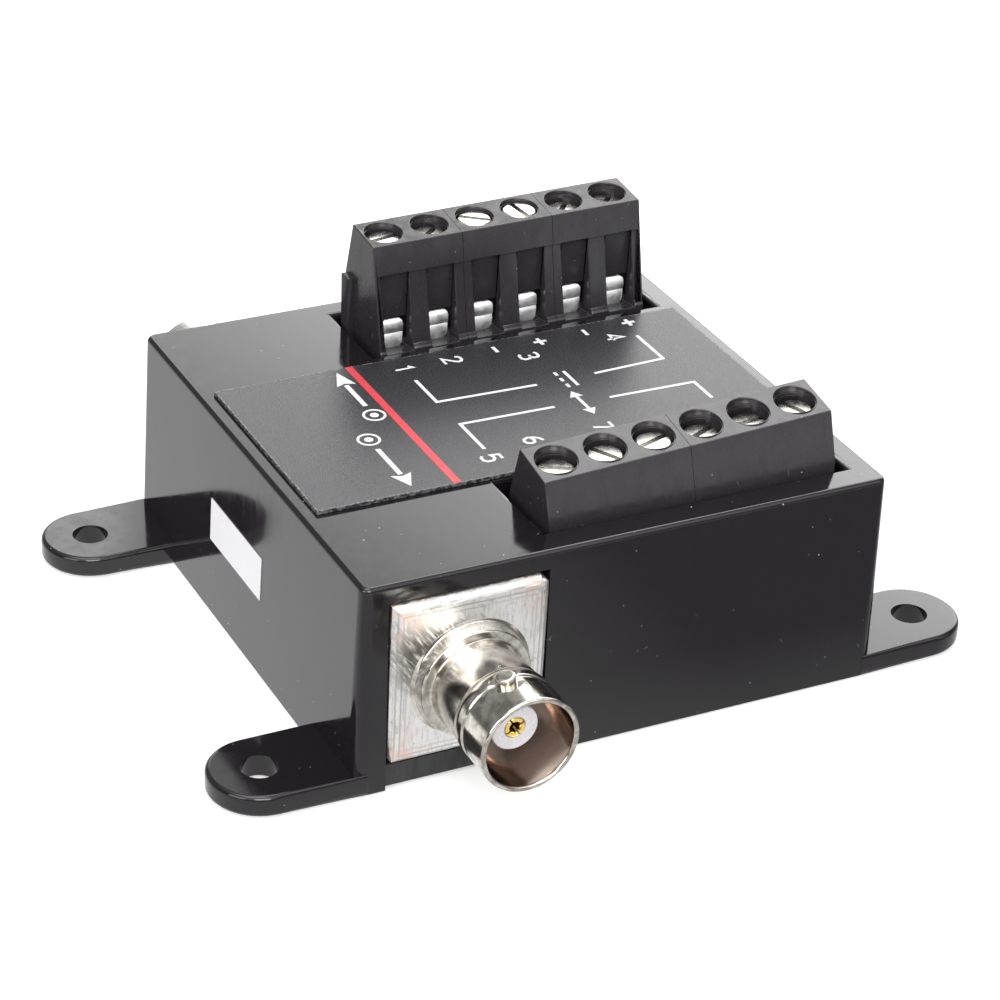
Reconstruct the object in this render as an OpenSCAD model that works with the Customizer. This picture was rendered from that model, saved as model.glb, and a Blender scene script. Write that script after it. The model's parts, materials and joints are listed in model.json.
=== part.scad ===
// Coaxial surge protector: a moulded case with four mounting ears, a bayonet jack at each end,
// two rows of screw terminals standing up through windows in the top, and the boards inside.
// Millimetres. X runs along the front, the front jack points to -Y, Z is up, z = 0 is the base.

/* [Case] */
// width of the case across its top face
case_w = 54.6; // [54:0.1:72]
// depth of the case across its top face
case_d = 53.6; // [53:0.1:70]
// height of the case
case_h = 21.6; // [21.5:0.1:30]
// slope of the side walls in degrees, so that the case is wider at its foot
wall_draft = 1.7; // [0.5:0.1:3]
// wall thickness at the top of the side walls
wall_t = 2; // [1.6:0.1:2.2]
// thickness of the top
top_t = 2; // [1.5:0.1:2.5]
// rounding of the upright edges at the top
corner_r = 1; // [0.4:0.1:1.5]

/* [Mounting ears] */
// width of an ear, and twice the radius of its round end
ear_w = 10; // [8:0.5:12]
// thickness of an ear
ear_t = 2.2; // [1.5:0.1:3]
// distance from the foot of the side wall to the hole
ear_reach = 7.2; // [6:0.1:10]
// radius of the hole in an ear
ear_hole_r = 1.82; // [1.5:0.01:2.6]

/* [Jacks] */
// distance from the left edge of the top to a jack's axis
jack_inset = 10.6; // [10.4:0.1:11]
// height of the jack's axis
jack_z = 10.75; // [10.7:0.05:11]
// width of the square plate round the jack
plate_w = 15.76; // [15:0.01:16]
// thickness of that plate
plate_t = 2; // [1.8:0.1:2.2]
// how far the plate stands out past the edge of the top
plate_proud = 0.9; // [0.7:0.1:1.2]
// length of the barrel from the plate to the mouth
barrel_len = 12.16; // [12:0.01:14]
// outside radius of the barrel
barrel_r = 4.83; // [4.8:0.01:4.9]
// inside radius of the mouth
mouth_r = 4.27; // [4.1:0.01:4.35]
// distance from the mouth to the insulator's face
insulator_depth = 3.12; // [2.5:0.01:4]
// angle of the two bayonet lugs from upright
lug_angle = 10; // [0:1:20]

/* [Terminal rows] */
// distance between two poles
pitch = 5.08; // [5.08:0.01:5.2]
// distance from the right edge of the top to the middle of both rows
row_inset = 19.2; // [19:0.1:19.5]
// distance from the rear edge of the top to the screws of the rear row
rear_inset = 7.7; // [7.6:0.1:8]
// distance from the front edge of the top to the screws of the front row
front_inset = 7.55; // [7.5:0.05:8]
// height of the rear row over its board, at the screws
rear_h = 15.07; // [15:0.01:16]
// height of the front row over its board, at the screws
front_h = 9.33; // [9.2:0.01:9.6]
// slope of the rear row's top in degrees
rear_tilt = 5.4; // [5:0.1:8]
// slope of the front row's top in degrees
front_tilt = 10.5; // [8:0.5:12]
// how far the rear row leans to the left in degrees, as it was soldered
rear_roll = 0.8; // [0:0.1:0.8]
// how far the front row leans to the left in degrees, as it was soldered
front_roll = 2.9; // [0:0.1:2.9]
// radius of the hole over a rear screw
rear_bore_r = 1.95; // [1.93:0.01:2.05]
// radius of the hole over a front screw
front_bore_r = 2.03; // [1.98:0.01:2.1]
// width of a wire entry
entry_w = 3.05; // [2.9:0.01:3.2]

/* [Screws] */
// radius of a screw's head
head_r = 1.78; // [1.7:0.01:1.85]
// radius of the thread
thread_r = 1.25; // [1.1:0.01:1.3]
// gap round a screw in its threaded collar
thread_gap = 0.05; // [0.03:0.01:0.08]
// gap between neighbouring blocks of a row
block_gap = 0.05; // [0.02:0.01:0.1]

/* [Boards] */
// thickness of both circuit boards
board_t = 1.6; // [1.4:0.1:1.8]
// height of the lower board's underside
main_z = 3.2; // [3.2:0.1:3.4]
// distance from the top of the case down to the upper board
deck_drop = 4; // [3.9:0.1:4.2]

/* [Hidden] */
$fn = 64;
eps = 0.5;
draft_t = tan(wall_draft);
foot_half_w = case_w / 2 + case_h * draft_t;
foot_half_d = case_d / 2 + case_h * draft_t;
room_w = case_w - 2 * wall_t;
room_d = case_d - 2 * wall_t;
room_z = case_h - top_t;
ear_x = foot_half_w + ear_reach;
ear_y = foot_half_d - ear_w / 2;
jack_x = jack_inset - case_w / 2;
plate_y = case_d / 2 + plate_proud;
slot_gap = 0.15;
slot_w = plate_w + 2 * slot_gap;
plate_top = room_z - jack_z;
plate_low = 8.06;
plate_bevel = 0.6;
deck = case_h - deck_drop;
row_x = case_w / 2 - row_inset;
rear_y = case_d / 2 - rear_inset;
front_y = front_inset - case_d / 2;
poles = 6;
row_half = poles * pitch / 2;
cover_z = 0.6;
cover_t = 1.6;
cover_gap = 0.1;
cover_top = cover_z + cover_t;
boss_x = room_w / 2 - 2.9;
boss_y = 10.5;
boss_r = 3;
cover_screw_r = 1.05;
main_top = main_z + board_t;
lead_r = 0.3;
// how far an ear runs into the wall
ear_root = 1.4;
// gaps round the terminal rows in the two windows
rear_window = [5.3, 4.9];
front_window = [4.25, 6.05];
window_left = 0.6;
window_right = 1.35;
// posts that hold the upper board down, and rests under the lower one
post_x = 11;
post_r = 1.5;
rest_x = 19.5;
rest_y = 15.8;
// label on the top and sticker on the left wall
label_w = 51.4;
label_d = 25.15;
label_t = 0.4;
sticker_w = 12.6;
sticker_h = 4.6;
sticker_t = 0.1;
// solder pins of the poles and their holes
pin_r = 0.5;
pin_hole_r = 0.7;
pin_out = 1.4;
// pressure feet
foot_w = 2.5;
foot_d = 3.3;
rear_foot_t = 0.6;
front_foot_t = 0.5;
// cast body of a jack behind its plate, and its four posts in the lower board
body_w = 14.4;
body_h = 14.1;
body_len = 11.2;
jack_post_x = 5.08;
jack_posts = [4.2, 9.2];
contact_r = 1.05;
tail_r = 0.5;
lead_low = main_z - 0.6;
// half width of the metal cage in a pole, and of the room round it
cage_half = 1.65;
cage_room = 1.7;
thread_hole_r = thread_r + thread_gap;
// reach of a block's tongue, and the recess of its pillars behind its upper front
rear_tongue = 0.6;
front_tongue = 0.35;
pillar_recess = 0.25;
pillar_top = 11.7;
// the first rear block is cut short on the left, and the row's two ends keep a thin wall
end_trim = 0.25;
end_wall = 0.3;
// a leaning row's blocks start this high over the board
rear_low = 0.25;
front_low = 0.8;
// front face of the rear blocks, in depth and height, sloping back to the top
rear_foot_v = -4.62;
rear_foot_w = 4.1;
rear_brow_v = -2.5;
// metal cages: floor, underside of the threaded collar and the collar's thickness
rear_floor = 3.5;
rear_collar = 8.8;
rear_collar_t = 1.2;
front_floor = 1.4;
front_collar = 5.1;
front_collar_t = 0.8;
// wire guards: lower edge, crease and upper edge
rear_leaf = [3.48, 5, 6.5];
front_leaf = [1.65, 3.3, 4.95];
header_x0 = row_x - 6.35;
header_step = 2.54;
header_y = 9;
// depth of each screw's head below the sloping top, as the photo shows them
rear_sunk = [0.67, 1, 0.24, 0.19, 0.92, 1.06];
front_sunk = [0.86, 0.66, 0.57, 1.02, 1.1, 0.9];
// direction of each screw's slot in degrees
rear_slot = [9, 39, -37, -85, 50, 48];
front_slot = [-34, -64, 16, 22, 1, -71];
rear_head_t = 1.6;
rear_shank = 5;
front_head_t = 1;
front_shank = 3.2;
slot_depth = 0.65;
slot_width = 0.6;
// the mouth's wall steps in behind this depth
mouth_depth = 2.9;
mouth_step = 0.17;
// a lug's radius, distance back from the mouth and the round flat it stands on
lug_r = 0.96;
lug_back = 3.82;
lug_seat_r = 1.55;
lug_seat = barrel_r - 0.23;

// Case

// slab with two sloping sides, straight along its length
module drafted_slab(w, len) {
  rotate([90, 0, 0])
    linear_extrude(len, center = true)
      polygon([
        [-w / 2 - case_h * draft_t, 0],
        [w / 2 + case_h * draft_t, 0],
        [w / 2, case_h],
        [-w / 2, case_h]]);
}

// drafted body whose upright edges are cones with a vertical axis
module drafted_body() {
  drafted_slab(case_w, case_d - 2 * corner_r);
  rotate([0, 0, 90])
    drafted_slab(case_d, case_w - 2 * corner_r);
  for (sx = [-1, 1], sy = [-1, 1])
    translate([sx * (case_w / 2 - corner_r), sy * (case_d / 2 - corner_r), 0])
      cylinder(h = case_h, r1 = corner_r + case_h * draft_t, r2 = corner_r);
}

module ear(sx, sy) {
  translate([sx * ear_x, sy * ear_y, 0])
    cylinder(h = ear_t, r = ear_w / 2);
  translate([sx > 0 ? foot_half_w - ear_root : -ear_x, sy * ear_y - ear_w / 2, 0])
    cube([ear_x - foot_half_w + ear_root, ear_w, ear_t]);
}

module jack_slot(sy) {
  translate([jack_x - slot_w / 2, sy > 0 ? room_d / 2 - eps : -foot_half_d - eps, -eps])
    cube([slot_w, foot_half_d - room_d / 2 + 2 * eps, room_z + slot_gap + eps]);
}

module window(y0, y1) {
  translate([row_x - row_half - window_left, y0, room_z - eps])
    cube([2 * row_half + window_left + window_right, y1 - y0, top_t + 2 * eps]);
}

module enclosure() {
  difference() {
    union() {
      difference() {
        drafted_body();
        translate([-room_w / 2, -room_d / 2, -eps])
          cube([room_w, room_d, room_z + eps]);
      }
      for (sx = [-1, 1], sy = [-1, 1])
        ear(sx, sy);
      // bosses for the cover's screws
      for (sx = [-1, 1], sy = [-1, 1])
        translate([sx * boss_x, sy * boss_y, cover_top])
          cylinder(h = room_z - cover_top + 0.2, r = boss_r);
      // posts that hold the upper board down
      for (sx = [-1, 1])
        translate([row_x + sx * post_x, 0, deck])
          cylinder(h = room_z - deck + 0.2, r = post_r);
    }
    for (sx = [-1, 1], sy = [-1, 1]) {
      translate([sx * ear_x, sy * ear_y, -eps])
        cylinder(h = ear_t + 2 * eps, r = ear_hole_r);
      translate([sx * boss_x, sy * boss_y, cover_top - eps])
        cylinder(h = 9 + eps, r = cover_screw_r + 0.02);
    }
    for (sy = [-1, 1])
      jack_slot(sy);
    window(rear_y - rear_window[0], rear_y + rear_window[1]);
    window(front_y - front_window[0], front_y + front_window[1]);
  }
}

// Bottom cover, which also fills the case's slots under the jacks

module bottom_cover() {
  difference() {
    union() {
      translate([-room_w / 2 + cover_gap, -room_d / 2 + cover_gap, cover_z])
        cube([room_w - 2 * cover_gap, room_d - 2 * cover_gap, cover_t]);
      for (sy = [-1, 1])
        translate([jack_x - plate_w / 2, sy > 0 ? room_d / 2 - 0.4 : -foot_half_d + 0.4, 0.2])
          cube([plate_w, foot_half_d - room_d / 2, jack_z - plate_low - 0.35]);
      for (sx = [-1, 1], sy = [-1, 1])
        translate([sx * rest_x, sy * rest_y, cover_top - 0.2])
          cylinder(h = main_z - cover_top + 0.2, r = post_r);
    }
    for (sx = [-1, 1], sy = [-1, 1])
      translate([sx * boss_x, sy * boss_y, cover_z])
        cover_screw_hole();
  }
}

module cover_screw_hole() {
  translate([0, 0, -eps])
    cylinder(h = cover_t + 2 * eps, r = 1.35);
  translate([0, 0, -0.01])
    cylinder(h = 1.11, r1 = 2.21, r2 = 1.1);
}

module cover_screws() {
  for (sx = [-1, 1], sy = [-1, 1])
    translate([sx * boss_x, sy * boss_y, cover_z])
      difference() {
        union() {
          cylinder(h = 1.1, r1 = 2.15, r2 = 1.05);
          cylinder(h = 8, r = cover_screw_r);
        }
        for (a = [0, 90])
          rotate([0, 0, a + 20])
            translate([-1.2, -0.2, -eps])
              cube([2.4, 0.4, eps + 0.6]);
      }
}

// Boards

module board_plate(x0, x1, z0) {
  difference() {
    translate([x0, -room_d / 2 + 0.3, z0])
      cube([x1 - x0, room_d - 0.6, board_t]);
    for (sx = [-1, 1], sy = [-1, 1])
      translate([sx * boss_x, sy * boss_y, z0 - eps])
        cylinder(h = board_t + 2 * eps, r = boss_r + 0.3);
    for (sx = [-1, 1], sy = [-1, 1])
      translate([sx * (boss_x + boss_r), sy * boss_y, z0 + board_t / 2])
        cube([2 * boss_r, 2 * boss_r + 0.6, board_t + 2 * eps], center = true);
    for (i = [0:5], sy = [-1, 1])
      translate([header_x0 + i * header_step, sy * header_y, z0 - eps])
        cylinder(h = board_t + 2 * eps, r = 0.5);
  }
}

module main_board() {
  difference() {
    board_plate(-room_w / 2 + 0.3, room_w / 2 - 0.3, main_z);
    for (p = lead_spots())
      translate([p.x, p.y, main_z - eps])
        cylinder(h = board_t + 2 * eps, r = lead_r + 0.1);
    for (sy = [-1, 1]) {
      for (sx = [-1, 1], w = jack_posts)
        translate([jack_x + sx * jack_post_x, sy * (plate_y - w), main_z - eps])
          cylinder(h = board_t + 2 * eps, r = 0.7);
      translate([jack_x, sy * (plate_y - 12.1), main_z - eps])
        cylinder(h = board_t + 2 * eps, r = 0.6);
    }
  }
}

module upper_board() {
  difference() {
    board_plate(row_x - row_half - 1.4, room_w / 2 - 0.3, deck - board_t);
    for (i = [0:poles - 1]) {
      translate([rear_pin_x(i), rear_y, deck - board_t - eps])
        cylinder(h = board_t + 2 * eps, r = pin_hole_r);
      translate([front_pin_x(i), front_y, deck - board_t - eps])
        cylinder(h = board_t + 2 * eps, r = pin_hole_r);
    }
  }
}

module header_spacers() {
  for (sy = [-1, 1])
    difference() {
      translate([header_x0 - header_step / 2, sy * header_y - 1.25, main_top])
        cube([poles * header_step, 2.5, deck - board_t - main_top]);
      for (i = [0:poles - 1])
        translate([header_x0 + i * header_step - 0.34, sy * header_y - 0.34, main_top - eps])
          cube([0.68, 0.68, deck - main_top]);
    }
}

module header_pins() {
  for (sy = [-1, 1], i = [0:poles - 1])
    translate([header_x0 + i * header_step - 0.32, sy * header_y - 0.32, lead_low])
      cube([0.64, 0.64, deck + 0.8 - lead_low]);
}

// Label and sticker

module top_label() {
  translate([-25.7, -13.1, case_h])
    cube([label_w, label_d, label_t]);
}

module side_sticker() {
  translate([-case_w / 2, -4.75, case_h])
    rotate([0, wall_draft, 0])
      translate([-sticker_t, 0, -13.5])
        cube([sticker_t, sticker_w, sticker_h]);
}

// Places of the poles, numbered from the left

// each row leans as one about the middle of its sloping top
module rear_row() {
  translate([row_x, rear_y, deck + rear_h])
    rotate([0, -rear_roll, 0])
      translate([0, 0, -rear_h])
        children();
}

module front_row() {
  translate([row_x, front_y, deck + front_h])
    rotate([0, -front_roll, 0])
      translate([0, 0, -front_h])
        children();
}

// a leaning row's pins meet the board a little to the right of their screws
function pin_x(i, h, roll) =
  row_x + (i - 2.5) * pitch * cos(roll) + (h + board_t / 2) * sin(roll);

function rear_pin_x(i) = pin_x(i, rear_h, rear_roll);
function front_pin_x(i) = pin_x(i, front_h, front_roll);

module rear_pole(i) {
  rear_row()
    translate([(i - 2.5) * pitch, 0, 0])
      children();
}

module front_pole(i) {
  front_row()
    translate([(i - 2.5) * pitch, 0, 0])
      children();
}

// Blocks: the section is drawn in depth and height and extruded along the row

module section(points, len) {
  rotate([90, 0, 90])
    linear_extrude(len)
      polygon(points);
}

// depth of the rear blocks' front face at a height
rear_brow_w = rear_h + rear_brow_v * tan(rear_tilt);
function rear_front(w) =
  rear_foot_v + (w - rear_foot_w) * (rear_brow_v - rear_foot_v) / (rear_brow_w - rear_foot_w);

module rear_block(first, count) {
  len = count * pitch - block_gap;
  start = first == 0 ? end_trim : 0;
  recess_start = first == 0 ? end_trim + end_wall : -eps;
  recess_end = first + count == poles ? len - end_wall : len + eps;
  rear_row()
    translate([(first - 3) * pitch + block_gap / 2, 0, 0])
      difference() {
        union() {
          translate([start, 0, 0])
            section([
              [-4.8, rear_low],
              [-4.8, 3.9],
              [rear_foot_v, rear_foot_w],
              [rear_brow_v, rear_brow_w],
              [2.4, rear_h + 2.4 * tan(rear_tilt)],
              [4.06, 9.48],
              [4.2, 8.8],
              [4.2, rear_low]], len - start);
          // tongue on the left end
          translate([start - rear_tongue, 2.1, rear_low])
            cube([rear_tongue + 0.1, 1.71, 9.41 - rear_low]);
        }
        // groove for the next block's tongue
        translate([len - rear_tongue - block_gap, 2.02, 0])
          cube([2, 3, 9.5]);
        // pillars stand back under the upper front
        translate([recess_start, 0, 0])
          section([
            [-7, 4.25],
            [rear_front(4.25) + pillar_recess, 4.25],
            [rear_front(pillar_top) + pillar_recess, pillar_top],
            [-7, pillar_top]], recess_end - recess_start);
        for (k = [0:count - 1])
          translate([(k + 0.5) * pitch - block_gap / 2, 0, 0])
            rear_cell();
      }
}

// the room in one rear pole: screw bore, cage room, pin hole and wire entry
module rear_cell() {
  translate([0, 0, 10])
    cylinder(h = rear_h, r = rear_bore_r);
  translate([-cage_room, -2.15, rear_floor])
    cube([2 * cage_room, 4.4, rear_collar + rear_collar_t - rear_floor]);
  translate([-cage_room, -2.37, rear_floor])
    cube([2 * cage_room, 1, 3.15]);
  cylinder(h = 5, r = pin_hole_r);
  translate([-entry_w / 2, 0, 0])
    section([
      [-7, 4.03],
      [-2.2, 3.42],
      [-2.2, 6.7],
      [-2.45, 6.7],
      [-2.45, 11.78],
      [-7, 11.78]], entry_w);
}

module front_block(first, count) {
  len = count * pitch - block_gap;
  front_row()
    translate([(first - 3) * pitch + block_gap / 2, 0, 0])
      difference() {
        union() {
          section([
            [-3.85, front_low],
            [-3.85, 4],
            [-2.59, front_h - 2.59 * tan(front_tilt)],
            [2.47, front_h + 2.47 * tan(front_tilt)],
            [4.57, 4],
            [4.57, front_low]], len);
          translate([-front_tongue, -2.2, front_low])
            cube([front_tongue + 0.1, 2.26, 2.6]);
        }
        translate([len - front_tongue - block_gap, -2.3, 0])
          cube([2, 2.46, 3.5]);
        for (k = [0:count - 1])
          translate([(k + 0.5) * pitch - block_gap / 2, 0, 0])
            front_cell();
      }
}

// the front row's wire entries are on the side towards the label
module front_cell() {
  translate([0, 0, 5.9])
    cylinder(h = front_h, r = front_bore_r);
  translate([-cage_room, -2.25, front_floor])
    cube([2 * cage_room, 4.62, front_collar + front_collar_t - front_floor]);
  cylinder(h = 2, r = pin_hole_r);
  translate([-entry_w / 2, 0, 0])
    section([
      [2.2, 1.6],
      [2.95, 1.6],
      [2.95, 2.9],
      [7, 4.2],
      [7, 7.6],
      [3.3, 7.4],
      [2.6, 5.2],
      [2.2, 5.2]], entry_w);
}

// Cages: a floor, a back and a threaded collar bent from one strip, with a solder pin

module cage(floor_v, collar_v, collar_t, pin_low) {
  translate([-cage_half, -2.37, floor_v])
    cube([2 * cage_half, 4.57, 0.6]);
  translate([-cage_half, 1.7, floor_v])
    cube([2 * cage_half, 0.5, collar_v + collar_t - floor_v]);
  difference() {
    translate([-cage_half, -2.1, collar_v])
      cube([2 * cage_half, 4.3, collar_t]);
    translate([0, 0, collar_v - eps])
      cylinder(h = collar_t + 2 * eps, r = thread_hole_r);
  }
  translate([0, 0, pin_low])
    cylinder(h = floor_v - pin_low + 0.1, r = pin_r);
}

module rear_cage(i) {
  rear_pole(i)
    cage(rear_floor, rear_collar, rear_collar_t, -board_t - pin_out);
}

module front_cage(i) {
  front_pole(i)
    mirror([0, 1, 0])
      cage(front_floor, front_collar, front_collar_t, -board_t - pin_out);
}

// Wire guards: creased leaves that hang in the wire entries

module guard(low, mid, top) {
  intersection() {
    translate([-1.45, 0, 0])
      section([
        [-2.62, low],
        [-2.8, mid],
        [-2.58, top],
        [-2.33, top],
        [-2.55, mid],
        [-2.37, low]], 2.9);
    rotate([90, 0, 0])
      linear_extrude(6, center = true)
        union() {
          translate([-1.45, low + 0.45])
            square([2.9, top - low - 0.9]);
          translate([-1.05, low])
            square([2.1, top - low]);
          for (s = [-1, 1])
            translate([s * 1.0, top - 0.45])
              circle(r = 0.45);
        }
  }
}

module rear_wire_guards() {
  for (i = [0:poles - 1])
    rear_pole(i)
      guard(rear_leaf[0], rear_leaf[1], rear_leaf[2]);
}

module front_wire_guards() {
  for (i = [0:poles - 1])
    front_pole(i)
      mirror([0, 1, 0])
        guard(front_leaf[0], front_leaf[1], front_leaf[2]);
}

// Screw: slotted cheese head, thread and a riveted neck that turns in the pressure foot

module screw(head_t, shank, slot) {
  rotate([0, 0, slot])
    difference() {
      union() {
        rotate_extrude()
          polygon([
            [0, 0],
            [head_r - 0.1, 0],
            [head_r, 0.1],
            [head_r, head_t - 0.18],
            [head_r - 0.05, head_t - 0.05],
            [head_r - 0.18, head_t],
            [0, head_t]]);
        translate([0, 0, -shank])
          cylinder(h = shank + 0.1, r = thread_r);
        translate([0, 0, -shank - 0.4])
          cylinder(h = 0.5, r = 0.6);
      }
      translate([-3, -slot_width / 2, head_t - slot_depth])
        cube([6, slot_width, 1]);
    }
}

// Pressure foot: pushed down on the wire by the screw
module foot(t, shank) {
  translate([0, 0, -shank - 0.05 - t])
    difference() {
      translate([-foot_w / 2, -1.9, 0])
        cube([foot_w, foot_d, t]);
      translate([0, 0, t - 0.4])
        cylinder(h = 1, r = 0.65);
      // grip notches under the foot
      for (u = [-1.2, 0.7])
        translate([0, u, 0])
          rotate([45, 0, 0])
            cube([3, 0.2, 0.2], center = true);
    }
}

// height of a screw's seat, which is the underside of its head
function rear_seat(i) = rear_h - rear_sunk[i] - rear_head_t;
function front_seat(i) = front_h - front_sunk[i] - front_head_t;

module rear_screw(i) {
  rear_pole(i)
    translate([0, 0, rear_seat(i)])
      screw(rear_head_t, rear_shank, rear_slot[i]);
}

module rear_foot(i) {
  rear_pole(i)
    translate([0, 0, rear_seat(i)])
      foot(rear_foot_t, rear_shank);
}

module front_screw(i) {
  front_pole(i)
    translate([0, 0, front_seat(i)])
      screw(front_head_t, front_shank, front_slot[i]);
}

module front_foot(i) {
  front_pole(i)
    translate([0, 0, front_seat(i)])
      mirror([0, 1, 0])
        foot(front_foot_t, front_shank);
}

// Jacks: drawn pointing up, then laid over so that they point to -Y or +Y

module jack_at(sy) {
  if (sy > 0)
    mirror([0, 1, 0])
      jack_at(-1)
        children();
  else
    translate([jack_x, -plate_y, jack_z])
      rotate([90, 0, 0])
        children();
}

// Square plate with a bevelled rim, one clipped corner and one rounded corner
module jack_plate() {
  half = plate_w / 2;
  rim = 0.65;
  difference() {
    intersection() {
      rotate([90, 0, 0])
        linear_extrude(4 * plate_w, center = true)
          polygon([
            [-half, -plate_t],
            [half, -plate_t],
            [half, -plate_bevel],
            [half - rim, 0],
            [rim - half, 0],
            [-half, -plate_bevel]]);
      rotate([90, 0, 90])
        linear_extrude(4 * plate_w, center = true)
          polygon([
            [-plate_low, -plate_t],
            [plate_top, -plate_t],
            [plate_top, -plate_bevel],
            [plate_top - rim, 0],
            [rim - plate_low, 0],
            [-plate_low, -plate_bevel]]);
      translate([0, 0, -plate_t - eps])
        linear_extrude(plate_t + 2 * eps)
          union() {
            translate([1 - half, -plate_low])
              square([plate_w - 1, plate_low + plate_top]);
            translate([-half, 1 - plate_low])
              square([plate_w, plate_low + plate_top - 1]);
            translate([1 - half, 1 - plate_low])
              circle(r = 1);
          }
    }
    translate([half, plate_top, 0])
      rotate([0, 0, 45])
        cube([1.3, 1.3, 6 * plate_t], center = true);
  }
}

// Barrel with its collar, bulged ring, groove, front sleeve and rounded lips
module jack_barrel() {
  rotate_extrude()
    polygon([
      [mouth_r - mouth_step, 3.76],
      [mouth_r - mouth_step, barrel_len - mouth_depth],
      [mouth_r, barrel_len - mouth_depth],
      [mouth_r, barrel_len - 0.2],
      [mouth_r + 0.16, barrel_len],
      [barrel_r - 0.14, barrel_len],
      [barrel_r, barrel_len - 0.16],
      [barrel_r, 8.35],
      [barrel_r - 0.14, 8.2],
      [barrel_r - 0.14, 8.1],
      [barrel_r, 7.9],
      [barrel_r + 0.02, 7.2],
      [barrel_r - 0.03, 6.7],
      [barrel_r - 0.1, 6.45],
      [barrel_r - 0.2, 6.31],
      [barrel_r - 0.2, 1.45],
      [5.4, 1.45],
      [5.5, 1.36],
      [5.75, 0.15],
      [6, 0],
      [6, -1],
      [3.5, -1],
      [3.5, 3.76]]);
}

module jack_shell() {
  difference() {
    union() {
      jack_plate();
      jack_barrel();
      // cast body behind the plate
      translate([-body_w / 2, main_top - jack_z, -body_len])
        cube([body_w, body_h, body_len - plate_t + 0.1]);
      for (sx = [-1, 1], w = jack_posts)
        translate([sx * jack_post_x, main_top - jack_z + 0.1, -w])
          rotate([90, 0, 0])
            cylinder(h = main_top - lead_low + 0.2, r = 0.6);
    }
    translate([0, 0, -12])
      cylinder(h = 20, r = 3.5);
    // flat seats of the two lugs
    for (a = [0, 180])
      rotate([0, 0, a + lug_angle])
        translate([0, lug_seat, barrel_len - lug_back])
          rotate([-90, 0, 0])
            cylinder(h = 1, r = lug_seat_r);
  }
  for (a = [0, 180])
    rotate([0, 0, a + lug_angle])
      translate([0, mouth_r + 0.06, barrel_len - lug_back])
        rotate([-90, 0, 0])
          rotate_extrude()
            polygon([
              [0, 0],
              [lug_r, 0],
              [lug_r, 1],
              [lug_r - 0.07, 1.13],
              [lug_r - 0.25, 1.2],
              [0, 1.2]]);
}

module jack_insulator() {
  rotate_extrude()
    polygon([
      [1.06, barrel_len - insulator_depth],
      [2.2, barrel_len - insulator_depth],
      [2.3, barrel_len - insulator_depth - 0.1],
      [2.3, 3.7],
      [3.48, 3.7],
      [3.48, -body_len],
      [0.52, -body_len],
      [0.52, -0.1],
      [1.06, -0.1]]);
}

module jack_contact() {
  face = barrel_len - insulator_depth;
  difference() {
    union() {
      rotate_extrude()
        polygon([
          [0, 0],
          [contact_r, 0],
          [contact_r, face - 0.12],
          [contact_r - 0.1, face],
          [0, face]]);
      translate([0, 0, -12.1])
        cylinder(h = 12.2, r = tail_r);
      translate([0, 0.6, -12.1])
        rotate([90, 0, 0])
          cylinder(h = jack_z - lead_low + 0.6, r = 0.54);
    }
    translate([0, 0, face - 5])
      cylinder(h = 6, r = 0.675);
    translate([0, 0, face - 0.15])
      cylinder(h = 0.3, r1 = 0.675, r2 = 0.95);
    for (a = [30, 120])
      rotate([0, 0, a])
        translate([-2, -0.11, face - 2.5])
          cube([4, 0.22, 3]);
  }
}

// Surge parts on the lower board

tube_x = jack_x + 1.5;
tube_y = 9.5;
tube_r = 4;
disc_spots = [for (x = [-3, 3, 9], s = [-1, 1]) [x, s * 18]];
diode_spots = [for (x = [14.5, 18.5], s = [-1, 1]) [x, s * 17.5]];
resistor_spots = [for (x = [-4.5, 19.5], s = [-1, 1]) [x, s * 3.5]];

// board holes of every lead
function lead_spots() = concat(
  [for (s = [-1, 1], e = [-1, 1]) [tube_x + e * 2, s * tube_y]],
  [for (p = disc_spots, e = [-1, 1]) [p.x, p.y + e * 2]],
  [for (p = diode_spots, e = [-1, 1]) [p.x, p.y + e * 3.5]],
  [for (p = resistor_spots, e = [-1, 1]) [p.x + e * 4.4, p.y]],
  [for (e = [-1, 1]) [jack_x + e * 2.6, 0]]);

module lead(x, y, top) {
  translate([x, y, lead_low])
    cylinder(h = top - lead_low, r = lead_r);
}

module gas_tubes() {
  for (s = [-1, 1]) {
    translate([tube_x - 3, s * tube_y, main_top + tube_r])
      rotate([0, 90, 0])
        cylinder(h = 6, r = tube_r);
    for (e = [-1, 1]) {
      // end caps
      translate([tube_x + e * 3 - 0.4, s * tube_y, main_top + tube_r])
        rotate([0, 90, 0])
          cylinder(h = 0.8, r = tube_r - 0.3);
      lead(tube_x + e * 2, s * tube_y, main_top + 0.6);
    }
  }
}

module varistors() {
  for (p = disc_spots) {
    translate([p.x - 1.3, p.y, main_top + 4.4])
      rotate([0, 90, 0])
        cylinder(h = 2.6, r = 3.8);
    for (e = [-1, 1])
      lead(p.x, p.y + e * 2, main_top + 2);
  }
}

module clamp_diodes() {
  for (p = diode_spots) {
    translate([p.x, p.y, main_top + 1.4])
      rotate([90, 0, 0])
        cylinder(h = 4.5, r = 1.3, center = true);
    translate([p.x, p.y, main_top + 1.4])
      rotate([90, 0, 0])
        cylinder(h = 7, r = lead_r - 0.04, center = true);
    for (e = [-1, 1])
      lead(p.x, p.y + e * 3.5, main_top + 1.4 + lead_r);
  }
}

module series_coil() {
  translate([jack_x, 0, main_top + 2.1])
    rotate_extrude()
      translate([2.8, 0])
        circle(r = 1.4);
  for (e = [-1, 1])
    lead(jack_x + e * 2.6, 0, main_top + 1.2);
}

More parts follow.
